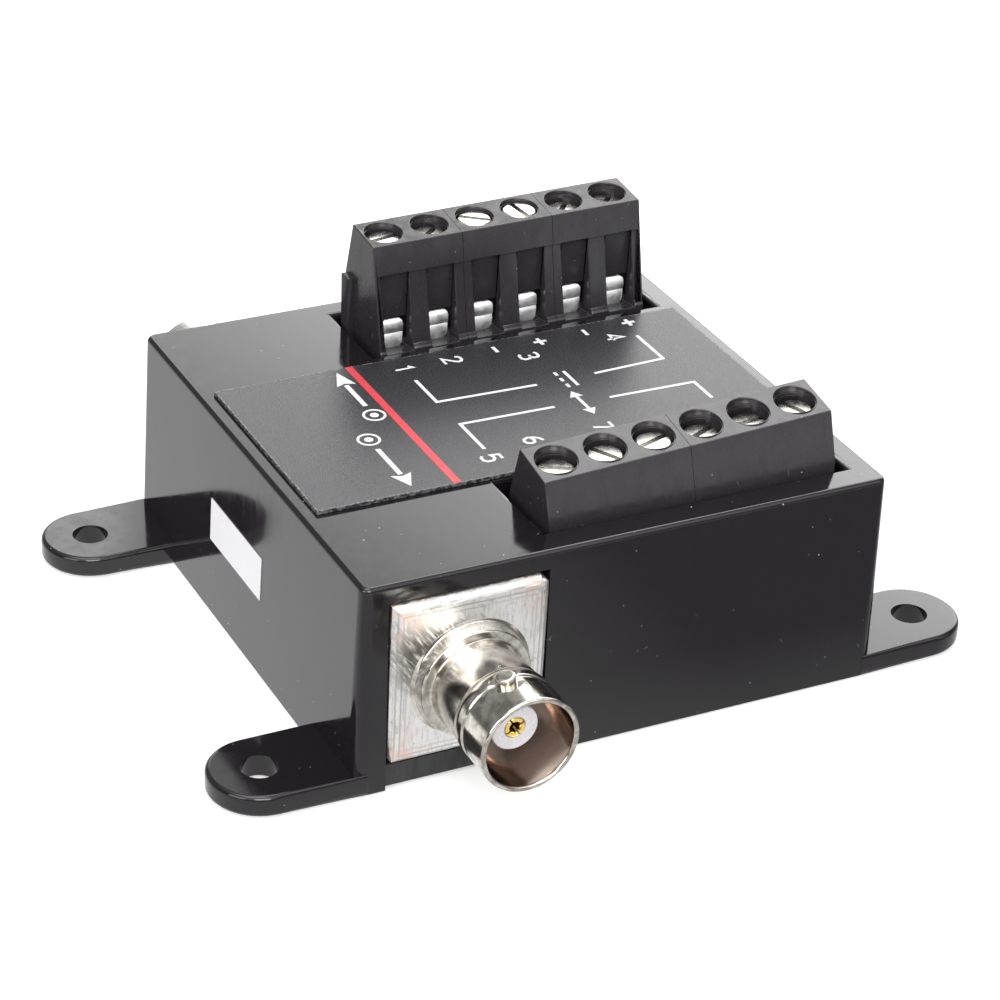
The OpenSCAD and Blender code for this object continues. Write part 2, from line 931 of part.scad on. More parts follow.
module series_resistors() {
  for (p = resistor_spots) {
    translate([p.x, p.y, main_top + 1.2])
      rotate([0, 90, 0])
        cylinder(h = 6, r = 1.1, center = true);
    translate([p.x, p.y, main_top + 1.2])
      rotate([0, 90, 0])
        cylinder(h = 8.8, r = lead_r - 0.04, center = true);
    for (e = [-1, 1])
      lead(p.x + e * 4.4, p.y, main_top + 1.2 + lead_r);
  }
}

// Nodes

black = [0.07, 0.068, 0.07];
steel = [0.78, 0.77, 0.74];
tinned = [0.82, 0.82, 0.81];
green = [0.07, 0.26, 0.14];

color(black) enclosure();
color(black) bottom_cover();
color(steel) cover_screws();
color(green) main_board();
color(green) upper_board();
color(black) header_spacers();
color(steel) header_pins();
color([0.14, 0.135, 0.14]) top_label();
color([0.93, 0.92, 0.93]) side_sticker();
for (i = [1:3]) {
  color([0.11, 0.105, 0.11]) rear_block(2 * i - 2, 2);
  color(tinned) for (k = [2 * i - 2, 2 * i - 1]) rear_cage(k);
}
for (i = [1:2]) {
  color([0.11, 0.105, 0.11]) front_block(3 * i - 3, 3);
  color(tinned) for (k = [3 * i - 3:3 * i - 1]) front_cage(k);
}
color(tinned) rear_wire_guards();
color(tinned) front_wire_guards();
for (i = [1:6]) {
  color(steel) rear_screw(i - 1);
  color(tinned) rear_foot(i - 1);
  color(steel) front_screw(i - 1);
  color(tinned) front_foot(i - 1);
}
color(steel) jack_at(-1) jack_shell();  // front_jack_shell
color("white") jack_at(-1) jack_insulator();  // front_jack_insulator
color([0.8, 0.6, 0.25]) jack_at(-1) jack_contact();  // front_jack_contact
color(steel) jack_at(1) jack_shell();  // rear_jack_shell
color("white") jack_at(1) jack_insulator();  // rear_jack_insulator
color([0.8, 0.6, 0.25]) jack_at(1) jack_contact();  // rear_jack_contact
color([0.85, 0.8, 0.75]) gas_tubes();
color([0.15, 0.35, 0.6]) varistors();
color([0.1, 0.1, 0.1]) clamp_diodes();
color([0.6, 0.3, 0.12]) series_coil();
color([0.5, 0.62, 0.7]) series_resistors();
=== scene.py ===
# %% [markdown]
# # A coaxial surge protector, dressed for its photograph
#
# The solids of this object were drawn in CAD and packed as a frame. This script loads that frame,
# gives every piece its finish, adds the small shapes that CAD leaves out, such as rounded edges,
# print and threads, and sets up a camera and lights like those of the photograph.

# %% Load the frame
import json
import math
import random

import bmesh
import bpy
from mathutils import Matrix, Vector

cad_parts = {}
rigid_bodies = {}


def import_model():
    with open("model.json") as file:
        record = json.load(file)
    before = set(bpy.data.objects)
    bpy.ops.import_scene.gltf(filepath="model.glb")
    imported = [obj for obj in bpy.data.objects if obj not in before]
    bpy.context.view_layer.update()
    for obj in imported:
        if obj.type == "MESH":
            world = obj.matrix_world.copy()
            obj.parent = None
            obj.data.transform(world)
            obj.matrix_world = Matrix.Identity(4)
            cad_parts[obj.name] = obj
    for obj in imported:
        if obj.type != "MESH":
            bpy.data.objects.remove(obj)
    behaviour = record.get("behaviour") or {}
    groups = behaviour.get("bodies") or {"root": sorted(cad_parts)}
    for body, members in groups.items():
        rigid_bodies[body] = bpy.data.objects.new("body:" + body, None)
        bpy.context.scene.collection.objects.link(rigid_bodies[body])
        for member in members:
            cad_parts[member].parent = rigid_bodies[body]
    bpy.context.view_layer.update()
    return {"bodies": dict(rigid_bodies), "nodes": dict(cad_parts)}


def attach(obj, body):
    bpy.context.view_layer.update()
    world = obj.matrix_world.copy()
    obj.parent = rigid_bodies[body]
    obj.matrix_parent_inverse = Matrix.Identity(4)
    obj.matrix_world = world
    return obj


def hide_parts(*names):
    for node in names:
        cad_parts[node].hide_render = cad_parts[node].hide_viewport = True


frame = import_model()
nodes = frame["nodes"]
MM = 0.001
scene = bpy.context.scene

# %% [markdown]
# ## Driving sizes
#
# Finishes and pieces below are placed by a few sizes of the real object, in millimetres, as in the
# CAD: the case and its label, the two rows of terminals on the upper board, and the jack with its
# square plate. The plate's edges are given from the jack's axis.

# %% Driving sizes
case_h, deck = 21.6, 17.6
ear_x, ear_y, ear_start = 35.14, 22.44, 28.4
label_half_w, label_half_d, label_y, label_top = 25.7, 12.575, -0.525, 22.0
row_x, rear_y, front_y = 8.1, 19.1, -19.25
rear_h, front_h, pitch = 15.07, 9.33, 5.08
rear_lean, front_lean = math.radians(0.8), math.radians(2.9)
jack_x, jack_z, plate_y = -16.7, 10.75, 27.7
barrel_len, barrel_r, mouth_r, shell_bore = 12.16, 4.83, 4.27, 3.5
stud_angle, stud_back, contact_depth = math.radians(10), 3.82, 3.12
left, right, low, high = -7.88, 7.88, -8.06, 8.85
plate_middle, plate_half_h, plate_round, plate_clip = 11.1, 8.4, 1.0, 0.92
print("case", case_h, "mm high, terminals every", pitch, "mm, barrel", barrel_len, "mm long")

# %% [markdown]
# ## The camera
#
# The photograph was taken from the front left, a little above, with a long lens. Lines of the case
# that are parallel on the real object lean towards each other in the picture, and from how much
# they lean the camera's distance and lens were worked out. The numbers are turned into a camera
# that looks from the same place, so that the render can be laid over the photograph.

# %% Camera
azimuth, elevation, roll = (math.radians(a) for a in (26.221, 31.577, 2.253))
away = Vector((-math.sin(azimuth) * math.cos(elevation),
               -math.cos(azimuth) * math.cos(elevation), math.sin(elevation)))
level_right = Vector((math.cos(azimuth), -math.sin(azimuth), 0))
level_up = level_right.cross(-away)
camera_right = math.cos(roll) * level_right + math.sin(roll) * level_up
camera_up = math.cos(roll) * level_up - math.sin(roll) * level_right
lens_data = bpy.data.cameras.new("photo_camera")
lens_data.sensor_width = 36
lens_data.lens = 108.61
lens_data.shift_x = 0.0951
lens_data.shift_y = 0.0918
lens_data.clip_start = 0.01
camera_place = Vector((-123.519, -230.492, 160.233)) * MM
camera = bpy.data.objects.new("photo_camera", lens_data)
scene.collection.objects.link(camera)
turn = Matrix((camera_right, camera_up, away)).transposed()
camera.matrix_world = Matrix.Translation(camera_place) @ turn.to_4x4()
scene.camera = camera
print("camera at", [round(v, 4) for v in camera.location], "lens", lens_data.lens)

# %% [markdown]
# ## Helpers for nodes
#
# Every finish below is a small network of shader nodes. These helpers place a node, fill in its
# sockets with numbers or links, and open a material or a node group to work in.

# %% Node helpers
def fill(tree, node, sockets):
    """Fill a node's sockets, each given by name or number, with a value or with a link."""
    for key, value in sockets.items():
        if isinstance(value, bpy.types.NodeSocket):
            tree.links.new(value, node.inputs[key])
        else:
            node.inputs[key].default_value = value


def put(tree, kind, sockets=None, **settings):
    """Place a shader node with its settings and sockets."""
    made = tree.nodes.new("ShaderNode" + kind)
    for key, value in settings.items():
        setattr(made, key, value)
    fill(tree, made, sockets or {})
    return made


def math_node(tree, operation, a, b=0.0, clamp=False):
    """One sum, product or comparison of two values."""
    return put(tree, "Math", {0: a, 1: b}, operation=operation, use_clamp=clamp).outputs[0]


def short(operation):
    """A short form of math_node for one operation."""
    return lambda tree, a, b=0.0: math_node(tree, operation, a, b)


plus, minus, times, divide = (short(kind) for kind in ("ADD", "SUBTRACT", "MULTIPLY", "DIVIDE"))
larger, smaller, unsigned = (short(kind) for kind in ("MAXIMUM", "MINIMUM", "ABSOLUTE"))
is_less, is_more = short("LESS_THAN"), short("GREATER_THAN")


def vector_math(tree, operation, a, b):
    """A sum or product of two vectors."""
    return put(tree, "VectorMath", {0: a, 1: b}, operation=operation).outputs[0]


def parts_of(tree, vector):
    """The x, y and z of a vector."""
    return put(tree, "SeparateXYZ", {0: vector}).outputs


def ramp(tree, value, start, end, to_start=0.0, to_end=1.0):
    """Stretch a value so that start..end becomes to_start..to_end, held at both ends."""
    made = put(tree, "MapRange", {0: value, 1: start, 2: end, 3: to_start, 4: to_end})
    return made.outputs[0]


def noise(tree, place, scale, detail=2.0, roughness=0.5, distortion=0.0):
    """Soft noise between 0 and 1 at a place."""
    return put(tree, "TexNoise", {"Vector": place, "Scale": scale, "Detail": detail,
                                  "Roughness": roughness, "Distortion": distortion}).outputs[0]


def blend_colour(tree, mask, first, second):
    """Mix two colours by a mask."""
    return put(tree, "Mix", {0: mask, 6: first, 7: second}, data_type="RGBA").outputs[2]


def new_group(name, inputs, outputs):
    """A node group with numbers for inputs and outputs, and its inner input and output."""
    tree = bpy.data.node_groups.new(name, "ShaderNodeTree")
    for label, value in inputs:
        socket = tree.interface.new_socket(label, in_out="INPUT", socket_type="NodeSocketFloat")
        socket.default_value = value
    for label in outputs:
        tree.interface.new_socket(label, in_out="OUTPUT", socket_type="NodeSocketFloat")
    return tree, tree.nodes.new("NodeGroupInput").outputs, tree.nodes.new("NodeGroupOutput").inputs


def effect(tree, group_tree, **values):
    """Place a node group in a material with its own values."""
    sockets = {label.replace("_", " "): value for label, value in values.items()}
    return put(tree, "Group", sockets, node_tree=group_tree).outputs


def new_finish(name):
    """An empty material with its shader, ready for a finish."""
    material = bpy.data.materials.new(name)
    material.use_nodes = True
    tree = material.node_tree
    tree.nodes.clear()
    shader = put(tree, "BsdfPrincipled")
    put(tree, "OutputMaterial", {0: shader.outputs[0]})
    return material, tree, shader


def millimetres(tree):
    """Texture coordinates of the piece itself, in millimetres."""
    coordinate = put(tree, "TexCoord").outputs["Object"]
    return vector_math(tree, "MULTIPLY", coordinate, (1000.0, 1000.0, 1000.0))


def set_bump(tree, shader, height, strength, distance_mm):
    """Feed a height into the shader's normal."""
    made = put(tree, "Bump", {"Strength": strength, "Distance": distance_mm * MM, "Height": height})
    fill(tree, shader, {"Normal": made.outputs[0]})


print("node helpers ready")

# %% [markdown]
# ## Effects that several finishes share
#
# A real surface is never one flat colour. Four effects are built once as node groups: the slow
# waviness and fine grain of moulded plastic, flecks of dust, fine scratches, and the rings that a
# lathe or a brush leaves on metal.

# %% Moulded skin
tree, given, result = new_group(
    "moulded_skin", (("Wave size", 14.0), ("Grain size", 0.25), ("Grain share", 0.2)), ("Height", "Mottle"))
place = millimetres(tree)
wave_scale = divide(tree, 1.0, given["Wave size"])
grain_scale = divide(tree, 1.0, given["Grain size"])
wave = noise(tree, place, wave_scale)
grain = noise(tree, place, grain_scale)
grain_part = times(tree, grain, given["Grain share"])
tree.links.new(plus(tree, wave, grain_part), result["Height"])
tree.links.new(grain, result["Mottle"])
skin_group = tree
print("group", tree.name)

# %% Dust
tree, given, result = new_group("dust", (("Spacing", 2.2), ("Fleck size", 0.085), ("Share", 0.35)), ("Mask",))
place = millimetres(tree)
cell_scale = divide(tree, 1.0, given["Spacing"])
cells = put(tree, "TexVoronoi", {"Vector": place, "Scale": cell_scale}, feature="F1")
reach = times(tree, cells.outputs["Distance"], given["Spacing"])
fleck = is_less(tree, reach, given["Fleck size"])
drawn = put(tree, "SeparateColor", {0: cells.outputs["Color"]}).outputs[0]
chosen = is_less(tree, drawn, given["Share"])
tree.links.new(times(tree, fleck, chosen), result["Mask"])
dust_group = tree
print("group", tree.name)

# %% Scratches
tree, given, result = new_group("scratches", (("Spacing", 6.0), ("Width", 0.02), ("Share", 0.3)), ("Mask",))
place = millimetres(tree)
drift = put(tree, "TexNoise", {"Vector": place, "Scale": 0.15}).outputs[1]
bent = vector_math(tree, "MULTIPLY", drift, (3.0, 3.0, 3.0))
bent = vector_math(tree, "ADD", place, bent)
line_scale = divide(tree, 1.0, given["Spacing"])
lines = put(tree, "TexVoronoi", {"Vector": bent, "Scale": line_scale},
            feature="DISTANCE_TO_EDGE").outputs["Distance"]
reach = times(tree, lines, given["Spacing"])
thin = is_less(tree, reach, given["Width"])
patches = noise(tree, place, 0.35, 3.0)
limit = minus(tree, 1.0, given["Share"])
patch = is_more(tree, patches, limit)
tree.links.new(times(tree, thin, patch), result["Mask"])
scratch_group = tree
print("group", tree.name)

# %% Rings left by turning
tree, given, result = new_group("turned_rings", (("Ring size", 0.06), ("Wander", 0.4)), ("Height",))
place = millimetres(tree)
parts = parts_of(tree, place)
side = times(tree, parts[0], given["Wander"])
lift = times(tree, parts[2], given["Wander"])
along = put(tree, "CombineXYZ", {0: side, 1: parts[1], 2: lift}).outputs[0]
ring_scale = divide(tree, 1.0, given["Ring size"])
rings = noise(tree, along, ring_scale, 3.0)
tree.links.new(rings, result["Height"])
ring_group = tree
print("group", tree.name)

# %% [markdown]
# ## Plastics
#
# The case is a glossy black moulding: a nearly black colour, a smooth skin that reflects the studio,
# a slow waviness, thin scuffs and pale flecks of dust. The terminal blocks are a duller black. Their
# hollows and their left ends mirror less of the studio, so the shader's specular level goes down
# where little sky is open above the surface. The cover, which is underneath, has a fine grain.

# %% Plastic finishes
def plastic(name, colour, roughness, wave, grain_share, bump, dust_share, specular=0.5, deep=1.0):
    """Moulded plastic with a wavy, slightly grained skin, scuffs and flecks of dust.

    deep is the part of the specular level that is left in hollows and on faces towards -X.
    """
    material, tree, shader = new_finish(name)
    skin = effect(tree, skin_group, Wave_size=wave, Grain_share=grain_share)
    dust = effect(tree, dust_group, Share=dust_share)["Mask"]
    fine = effect(tree, dust_group, Spacing=1.0, Fleck_size=0.045, Share=dust_share)["Mask"]
    flecks = larger(tree, dust, fine)
    scuffs = effect(tree, scratch_group, Share=0.3, Width=0.025)["Mask"]
    body = blend_colour(tree, ramp(tree, skin["Mottle"], 0.3, 0.7), (*colour, 1),
                        (*(v * 1.25 for v in colour), 1))
    worn = blend_colour(tree, times(tree, scuffs, 0.5), body, (0.16, 0.16, 0.16, 1))
    dusty = blend_colour(tree, times(tree, flecks, 0.65), worn, (0.6, 0.6, 0.6, 1))
    dull = times(tree, larger(tree, flecks, scuffs), 0.4)
    upright = put(tree, "Mapping", {"Vector": millimetres(tree), "Scale": (0.9, 0.9, 0.22)}).outputs[0]
    handled = noise(tree, upright, 1.0, 4.0)
    cloud = ramp(tree, handled, 0.35, 0.7, roughness * 0.8, roughness * 1.6)
    fill(tree, shader, {"Base Color": dusty, "Specular IOR Level": specular,
                        "Roughness": math_node(tree, "ADD", cloud, dull, clamp=True)})
    if deep < 1.0:
        open_part = put(tree, "AmbientOcclusion", {"Distance": 3.0 * MM}, samples=4).outputs["AO"]
        facing = parts_of(tree, put(tree, "TexCoord").outputs["Normal"])[0]
        hollow = ramp(tree, open_part, 0.3, 0.75, specular * deep, specular)
        end = ramp(tree, facing, -0.95, -0.8, deep, 1.0)
        fill(tree, shader, {"Specular IOR Level": times(tree, hollow, end)})
    set_bump(tree, shader, skin["Height"], bump, 0.05)
    return material


case_black = plastic("case_black", (0.0088, 0.0074, 0.0088), 0.09, 14.0, 0.02, 0.25, 0.32, 0.45)
block_black = plastic("block_black", (0.026, 0.0238, 0.0262), 0.2, 5.0, 0.12, 0.3, 0.25, 0.5, 0.25)
cover_black = plastic("cover_black", (0.018, 0.018, 0.019), 0.5, 8.0, 0.8, 0.5, 0.1)
spacer_black = plastic("spacer_black", (0.012, 0.012, 0.013), 0.4, 5.0, 0.2, 0.3, 0.0)
insulator_white = plastic("insulator_white", (0.56, 0.56, 0.58), 0.25, 4.0, 0.1, 0.15, 0.0)
print("plastics made")

# %% [markdown]
# ## Metals
#
# The jacks are plated with nickel, a warm grey metal with fine turning rings. Plugs and fingers have
# left a coarse brown patina on the front jack, most of all inside its mouth, and the rear jack is
# cleaner. The wire guards, cages and pins are tinned, which is whiter. The guards' leaves are a matte tin
# whose colour is lightened almost to white as painted light, for the little light that reaches them in
# their entries. Contacts are gold-plated, and the screws are nickel too.

# %% Inside of the mouth
tree, given, result = new_group("mouth", (("Reach", mouth_r + 0.09), ("Start", plate_y + 2.7)), ("Mask",))
parts = parts_of(tree, millimetres(tree))
aside = minus(tree, parts[0], jack_x)
lifted = minus(tree, parts[2], jack_z)
square = plus(tree, times(tree, aside, aside), times(tree, lifted, lifted))
radius = math_node(tree, "SQRT", square)
within = is_less(tree, radius, given["Reach"])
depth = unsigned(tree, parts[1])
beyond = is_more(tree, depth, given["Start"])
tree.links.new(times(tree, within, beyond), result["Mask"])
mouth_group = tree
print("group", tree.name)

# %% Metal finishes
def metal(name, colour, roughness, ring=0.06, bump=0.2, stain=(0.5, 0.45, 0.38), stain_share=0.25,
          used=False):
    """Plated metal with turning rings, cloudy polish and stains. used adds a patina and a brown mouth."""
    material, tree, shader = new_finish(name)
    shader.inputs["Metallic"].default_value = 1.0
    place = millimetres(tree)
    cloud = noise(tree, place, 0.9, 4.0)
    rings = effect(tree, ring_group, Ring_size=ring)["Height"]
    mask = ramp(tree, cloud, 0.62 - stain_share * 0.4, 0.75, 0.0, 0.5)
    skin = blend_colour(tree, mask, (*colour, 1), (*stain, 1))
    if used:
        coarse = noise(tree, place, 0.45, 5.0, 0.65)
        patina = ramp(tree, coarse, 0.42, 0.62, 0.0, 0.62)
        skin = blend_colour(tree, patina, skin, (0.24, 0.215, 0.18, 1))
        inside = effect(tree, mouth_group)["Mask"]
        skin = blend_colour(tree, inside, skin, (0.56, 0.47, 0.41, 1))
    polish = plus(tree, ramp(tree, cloud, 0.3, 0.7, roughness * 0.7, roughness * 1.3),
                  ramp(tree, rings, 0.3, 0.7, -0.04, 0.05))
    fill(tree, shader, {"Base Color": skin, "Roughness": polish})
    set_bump(tree, shader, rings, bump, 0.01)
    return material


nickel = metal("nickel", (0.72, 0.69, 0.63), 0.13, bump=0.35, stain=(0.36, 0.32, 0.26),
               stain_share=0.5, used=True)
bright_nickel = metal("bright_nickel", (0.9, 0.88, 0.85), 0.28, bump=0.2, stain_share=0.1)
tinned = metal("tinned", (0.86, 0.86, 0.85), 0.2, stain_share=0.1)
screw_nickel = metal("screw_nickel", (0.7, 0.69, 0.66), 0.25, ring=0.2)
# painted light: the leaves' matte tin is lightened almost to white, for the little light that reaches them in
# their entries
leaf_tin = metal("leaf_tin", (0.98, 0.98, 0.98), 0.5, ring=0.3, bump=0.05, stain=(0.8, 0.8, 0.79),
                 stain_share=0.1)
gold = metal("gold", (1.0, 0.74, 0.26), 0.18, stain=(0.7, 0.4, 0.1), stain_share=0.1)
copper_wire = metal("copper_wire", (0.6, 0.22, 0.08), 0.25, stain=(0.35, 0.12, 0.04))
print("metals made")

# %% [markdown]
# ## The plate's worn plating
#
# The plate was filed and plated, and solder and handling have marked it. The casting is not quite
# flat, so it takes a slow bump. A dark, slanting reflection beside the collar is painted into the
# colour. Pink patches near the corners are copper that shows through the nickel. The file has left
# lines along the rim, and rubbing has left upright marks all over.

# %% Plate finish
plate_nickel, tree, shader = new_finish("plate_nickel")
shader.inputs["Metallic"].default_value = 1.0
place = millimetres(tree)
slow = noise(tree, place, 0.13, 1.0)
cloud = noise(tree, place, 0.7, 5.0, 0.65)
fine = noise(tree, place, 4.0, 4.0, 0.7)
swung = put(tree, "VectorRotate", {"Vector": place, "Angle": 0.65}, rotation_type="Y_AXIS").outputs[0]
swung = vector_math(tree, "MULTIPLY", swung, (5.0, 1.0, 0.6))
streaks = noise(tree, swung, 1.0, 4.0, distortion=0.4)
parts = parts_of(tree, place)
aside = minus(tree, parts[0], jack_x)
lifted = minus(tree, parts[2], plate_middle)
corner = ramp(tree, unsigned(tree, times(tree, aside, lifted)), 20.0, 46.0)
copper = times(tree, corner, ramp(tree, cloud, 0.44, 0.58))
# painted dark reflection: a slanting, streaked patch beside the collar darkens the plate's colour
from_x, from_z = plus(tree, aside, 4.2), minus(tree, lifted, 3.0)
away_from = plus(tree, times(tree, from_x, from_x), times(tree, from_z, from_z))
painted_dark_reflection = times(tree, ramp(tree, away_from, 22.0, 4.0), ramp(tree, streaks, 0.34, 0.52))
smudge = times(tree, ramp(tree, cloud, 0.43, 0.33), ramp(tree, streaks, 0.4, 0.6, 0.0, 0.6))
# the colour goes dark grey under the painted reflection and under the handling smudges
skin = blend_colour(tree, larger(tree, painted_dark_reflection, smudge), (0.92, 0.91, 0.9, 1), (0.2, 0.19, 0.18, 1))
# how far a place is from the rim, for the lines that the file left there
rim = smaller(tree, minus(tree, right, unsigned(tree, aside)),
              minus(tree, plate_half_h, unsigned(tree, lifted)))
wavy = plus(tree, rim, times(tree, cloud, 0.3))
filed = ramp(tree, math_node(tree, "SINE", times(tree, wavy, 12.5)), 0.1, 0.8)
filed = times(tree, filed, ramp(tree, rim, 2.1, 1.1))
upright = vector_math(tree, "MULTIPLY", place, (5.0, 1.0, 0.7))
rubbed = noise(tree, upright, 1.0, 5.0, 0.7)
marks = larger(tree, times(tree, filed, 0.6), ramp(tree, rubbed, 0.5, 0.66, 0.0, 0.5))
skin = blend_colour(tree, marks, skin, (0.36, 0.35, 0.33, 1))
skin = blend_colour(tree, times(tree, copper, 0.6), skin, (0.82, 0.58, 0.5, 1))
fill(tree, shader, {"Base Color": skin, "Roughness": ramp(tree, fine, 0.3, 0.7, 0.3, 0.5)})
height = plus(tree, slow, times(tree, fine, 0.02))
height = plus(tree, height, times(tree, streaks, 0.02))
set_bump(tree, shader, height, 0.8, 0.8)
print("plate finish made")

# %% [markdown]
# ## Boards and surge parts
#
# Nothing of these shows in the photograph, but whoever takes the cover off will see them: green
# solder mask, coated discs and tubes, and dark moulded diodes.

# %% Finishes inside the case
def coated(name, colour, roughness, speckle=0.15):
    """A dipped or painted coating with soft mottling."""
    material, tree, shader = new_finish(name)
    cloud = noise(tree, millimetres(tree), 1.5, 3.0)
    darker = tuple(v * (1 - speckle * 2) for v in colour)
    mottled = blend_colour(tree, ramp(tree, cloud, 0.35, 0.65), (*darker, 1), (*colour, 1))
    fill(tree, shader, {"Base Color": mottled,
                        "Roughness": ramp(tree, cloud, 0.3, 0.7, roughness * 0.8, roughness * 1.2)})
    set_bump(tree, shader, cloud, 0.2, 0.05)
    return material


board_green = coated("board_green", (0.02, 0.13, 0.06), 0.35)
tube_ceramic = coated("tube_ceramic", (0.72, 0.69, 0.64), 0.3, 0.05)
varistor_blue = coated("varistor_blue", (0.03, 0.14, 0.4), 0.4)
diode_black = coated("diode_black", (0.015, 0.015, 0.015), 0.35)
resistor_blue = coated("resistor_blue", (0.16, 0.36, 0.46), 0.35)
sticker_white = coated("sticker_white", (0.7, 0.69, 0.71), 0.55, 0.01)
ink_white = coated("ink_white", (0.78, 0.78, 0.79), 0.5, 0.04)
ink_red = coated("ink_red", (0.62, 0.035, 0.05), 0.45, 0.05)
print("inner finishes made")

# %% [markdown]
# ## The label's film
#
# The label is a dark plastic film with a satin, slightly sparkling grain, so it looks lighter and
# softer than the case around it. Its cut edge is pale in places.

# %% Label film
label_film, tree, shader = new_finish("label_film")
place = millimetres(tree)
grain = noise(tree, place, 7.0, 3.0, 0.7)
parts = parts_of(tree, place)
inset = 0.2
# how far a place is beyond the inset line, sideways or along, for the pale cut edge
across = unsigned(tree, parts[0])
along = unsigned(tree, minus(tree, parts[1], label_y))
rim = larger(tree, minus(tree, across, label_half_w - inset), minus(tree, along, label_half_d - inset))
sparkle = noise(tree, place, 3.0, 3.0)
rim = times(tree, is_more(tree, rim, 0.0), ramp(tree, sparkle, 0.45, 0.6))
film = blend_colour(tree, ramp(tree, grain, 0.35, 0.68), (0.014, 0.013, 0.015, 1),
                    (0.042, 0.041, 0.045, 1))
film = blend_colour(tree, times(tree, rim, 0.3), film, (0.5, 0.5, 0.5, 1))
fill(tree, shader, {"Base Color": film, "Specular IOR Level": 0.29,
                    "Roughness": ramp(tree, grain, 0.3, 0.7, 0.22, 0.36)})
set_bump(tree, shader, grain, 0.5, 0.03)
print("label film made")

# %% [markdown]
# ## Finishes for the carried nodes
#
# A CAD node whose shape is right stays and only takes a finish. The pieces that the camera sees from
# close by are taken up again further down, where they get rounded edges.

# %% Assign finishes
finish_of = {
    "enclosure": case_black, "bottom_cover": cover_black, "cover_screws": screw_nickel,
    "main_board": board_green, "upper_board": board_green, "header_spacers": spacer_black,
    "header_pins": tinned, "top_label": label_film, "side_sticker": sticker_white,
    "gas_tubes": tube_ceramic, "varistors": varistor_blue, "clamp_diodes": diode_black,
    "series_coil": copper_wire, "series_resistors": resistor_blue}
for part, finish in (("housing", block_black), ("contacts", tinned), ("wire", leaf_tin),
                     ("screw", screw_nickel), ("foot", tinned)):
    for name in nodes:
        if name.startswith(("rear_" + part, "front_" + part)):
            finish_of[name] = finish
for end in ("front", "rear"):
    finish_of[end + "_jack_shell"] = bright_nickel if end == "rear" else nickel
    finish_of[end + "_jack_insulator"] = insulator_white
    finish_of[end + "_jack_contact"] = gold
for name, finish in finish_of.items():
    for slot in nodes[name].material_slots:
        slot.material = finish
print("nodes without a finish:", sorted(set(nodes) - set(finish_of)))

# %% [markdown]
# ## Helpers for meshes
#
# New pieces are written in millimetres and scaled once, when the mesh is made. A profile with sharp
# corners never looks real, because on a real casting every edge is a little round and catches a line
# of light, so one helper rounds the corners of any outline. Below, data is a pair of points and faces.

# %% Mesh helpers
def clean_mesh(name, data, scale, merge):
    """A mesh from points and faces, with doubled points merged and the faces turned outwards."""
    mesh = bpy.data.meshes.new(name)
    mesh.from_pydata([Vector(p) * scale for p in data[0]], [], data[1])
    shape = bmesh.new()
    shape.from_mesh(mesh)
    bmesh.ops.remove_doubles(shape, verts=shape.verts, dist=merge)
    bmesh.ops.recalc_face_normals(shape, faces=shape.faces)
    shape.to_mesh(mesh)
    shape.free()
    return mesh


def add_piece(name, data, finish, body, stands_for=(), sharp=30.0):
    """Make one mesh piece from data in millimetres, with smooth shading up to a given angle."""
    return place_piece(name, clean_mesh(name, data, MM, 1e-7), finish, body, stands_for, sharp)


def place_piece(name, mesh, finish, body, stands_for=(), sharp=30.0):
    """Link a mesh into the scene, give it a finish and let it ride on a body."""
    for face in mesh.polygons:
        face.use_smooth = True
    mesh.set_sharp_from_angle(angle=math.radians(sharp))
    mesh.materials.clear()
    mesh.materials.append(finish)
    piece = bpy.data.objects.new(name, mesh)
    scene.collection.objects.link(piece)
    weigh = piece.modifiers.new("even_normals", "WEIGHTED_NORMAL")
    weigh.keep_sharp = True
    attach(piece, body)
    if stands_for:
        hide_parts(*stands_for)
    return piece


def round_corners(points, radius, steps=4):
    """A closed outline with each corner replaced by a small curve. radius is one number or a list."""
    made = []
    count = len(points)
    for i, corner in enumerate(points):
        here = Vector(corner)
        before, after = Vector(points[i - 1]) - here, Vector(points[(i + 1) % count]) - here
        size = radius[i] if isinstance(radius, (list, tuple)) else radius
        size = min(size, before.length * 0.48, after.length * 0.48)
        if size < 0.004:
            made.append(tuple(here))
            continue
        start, end = here + before.normalized() * size, here + after.normalized() * size
        for k in range(steps + 1):
            t = k / steps
            made.append(tuple(start * (1 - t) ** 2 + here * 2 * t * (1 - t) + end * t ** 2))
    return made


def lathe(profile, segments=96):
    """Points and faces of a closed profile of (radius, height) turned about the Z axis."""
    points, faces = [], []
    count = len(profile)
    for k in range(segments):
        angle = 2 * math.pi * k / segments
        points += [(r * math.cos(angle), r * math.sin(angle), h) for r, h in profile]
    for k in range(segments):
        other = (k + 1) % segments
        for i in range(count):
            j = (i + 1) % count
            faces.append((k * count + i, other * count + i, other * count + j, k * count + j))
    return points, faces


def stack(rings):
    """Points and faces of a closed body through rings of equal count, with its two ends filled."""
    count = len(rings[0])
    points = [p for ring in rings for p in ring]
    faces = [tuple(range(count))[::-1], tuple(range(len(points) - count, len(points)))]
    for k in range(len(rings) - 1):
        for i in range(count):
            j = (i + 1) % count
            faces.append((k * count + i, k * count + j, (k + 1) * count + j, (k + 1) * count + i))
    return points, faces


def prism(outline, start, end):
    """Points and faces of a flat outline raised from one height to another."""
    return stack([[(x, y, z) for x, y in outline] for z in (start, end)])


def moved(matrix, data):
    """Points through a matrix, with their faces."""
    return [tuple(matrix @ Vector(p)) for p in data[0]], data[1]


def gathered(parts):
    """Several shapes, each given as data, as one."""
    points, faces = [], []
    for part_points, part_faces in parts:
        base = len(points)
        points += part_points
        faces += [tuple(base + i for i in face) for face in part_faces]
    return points, faces


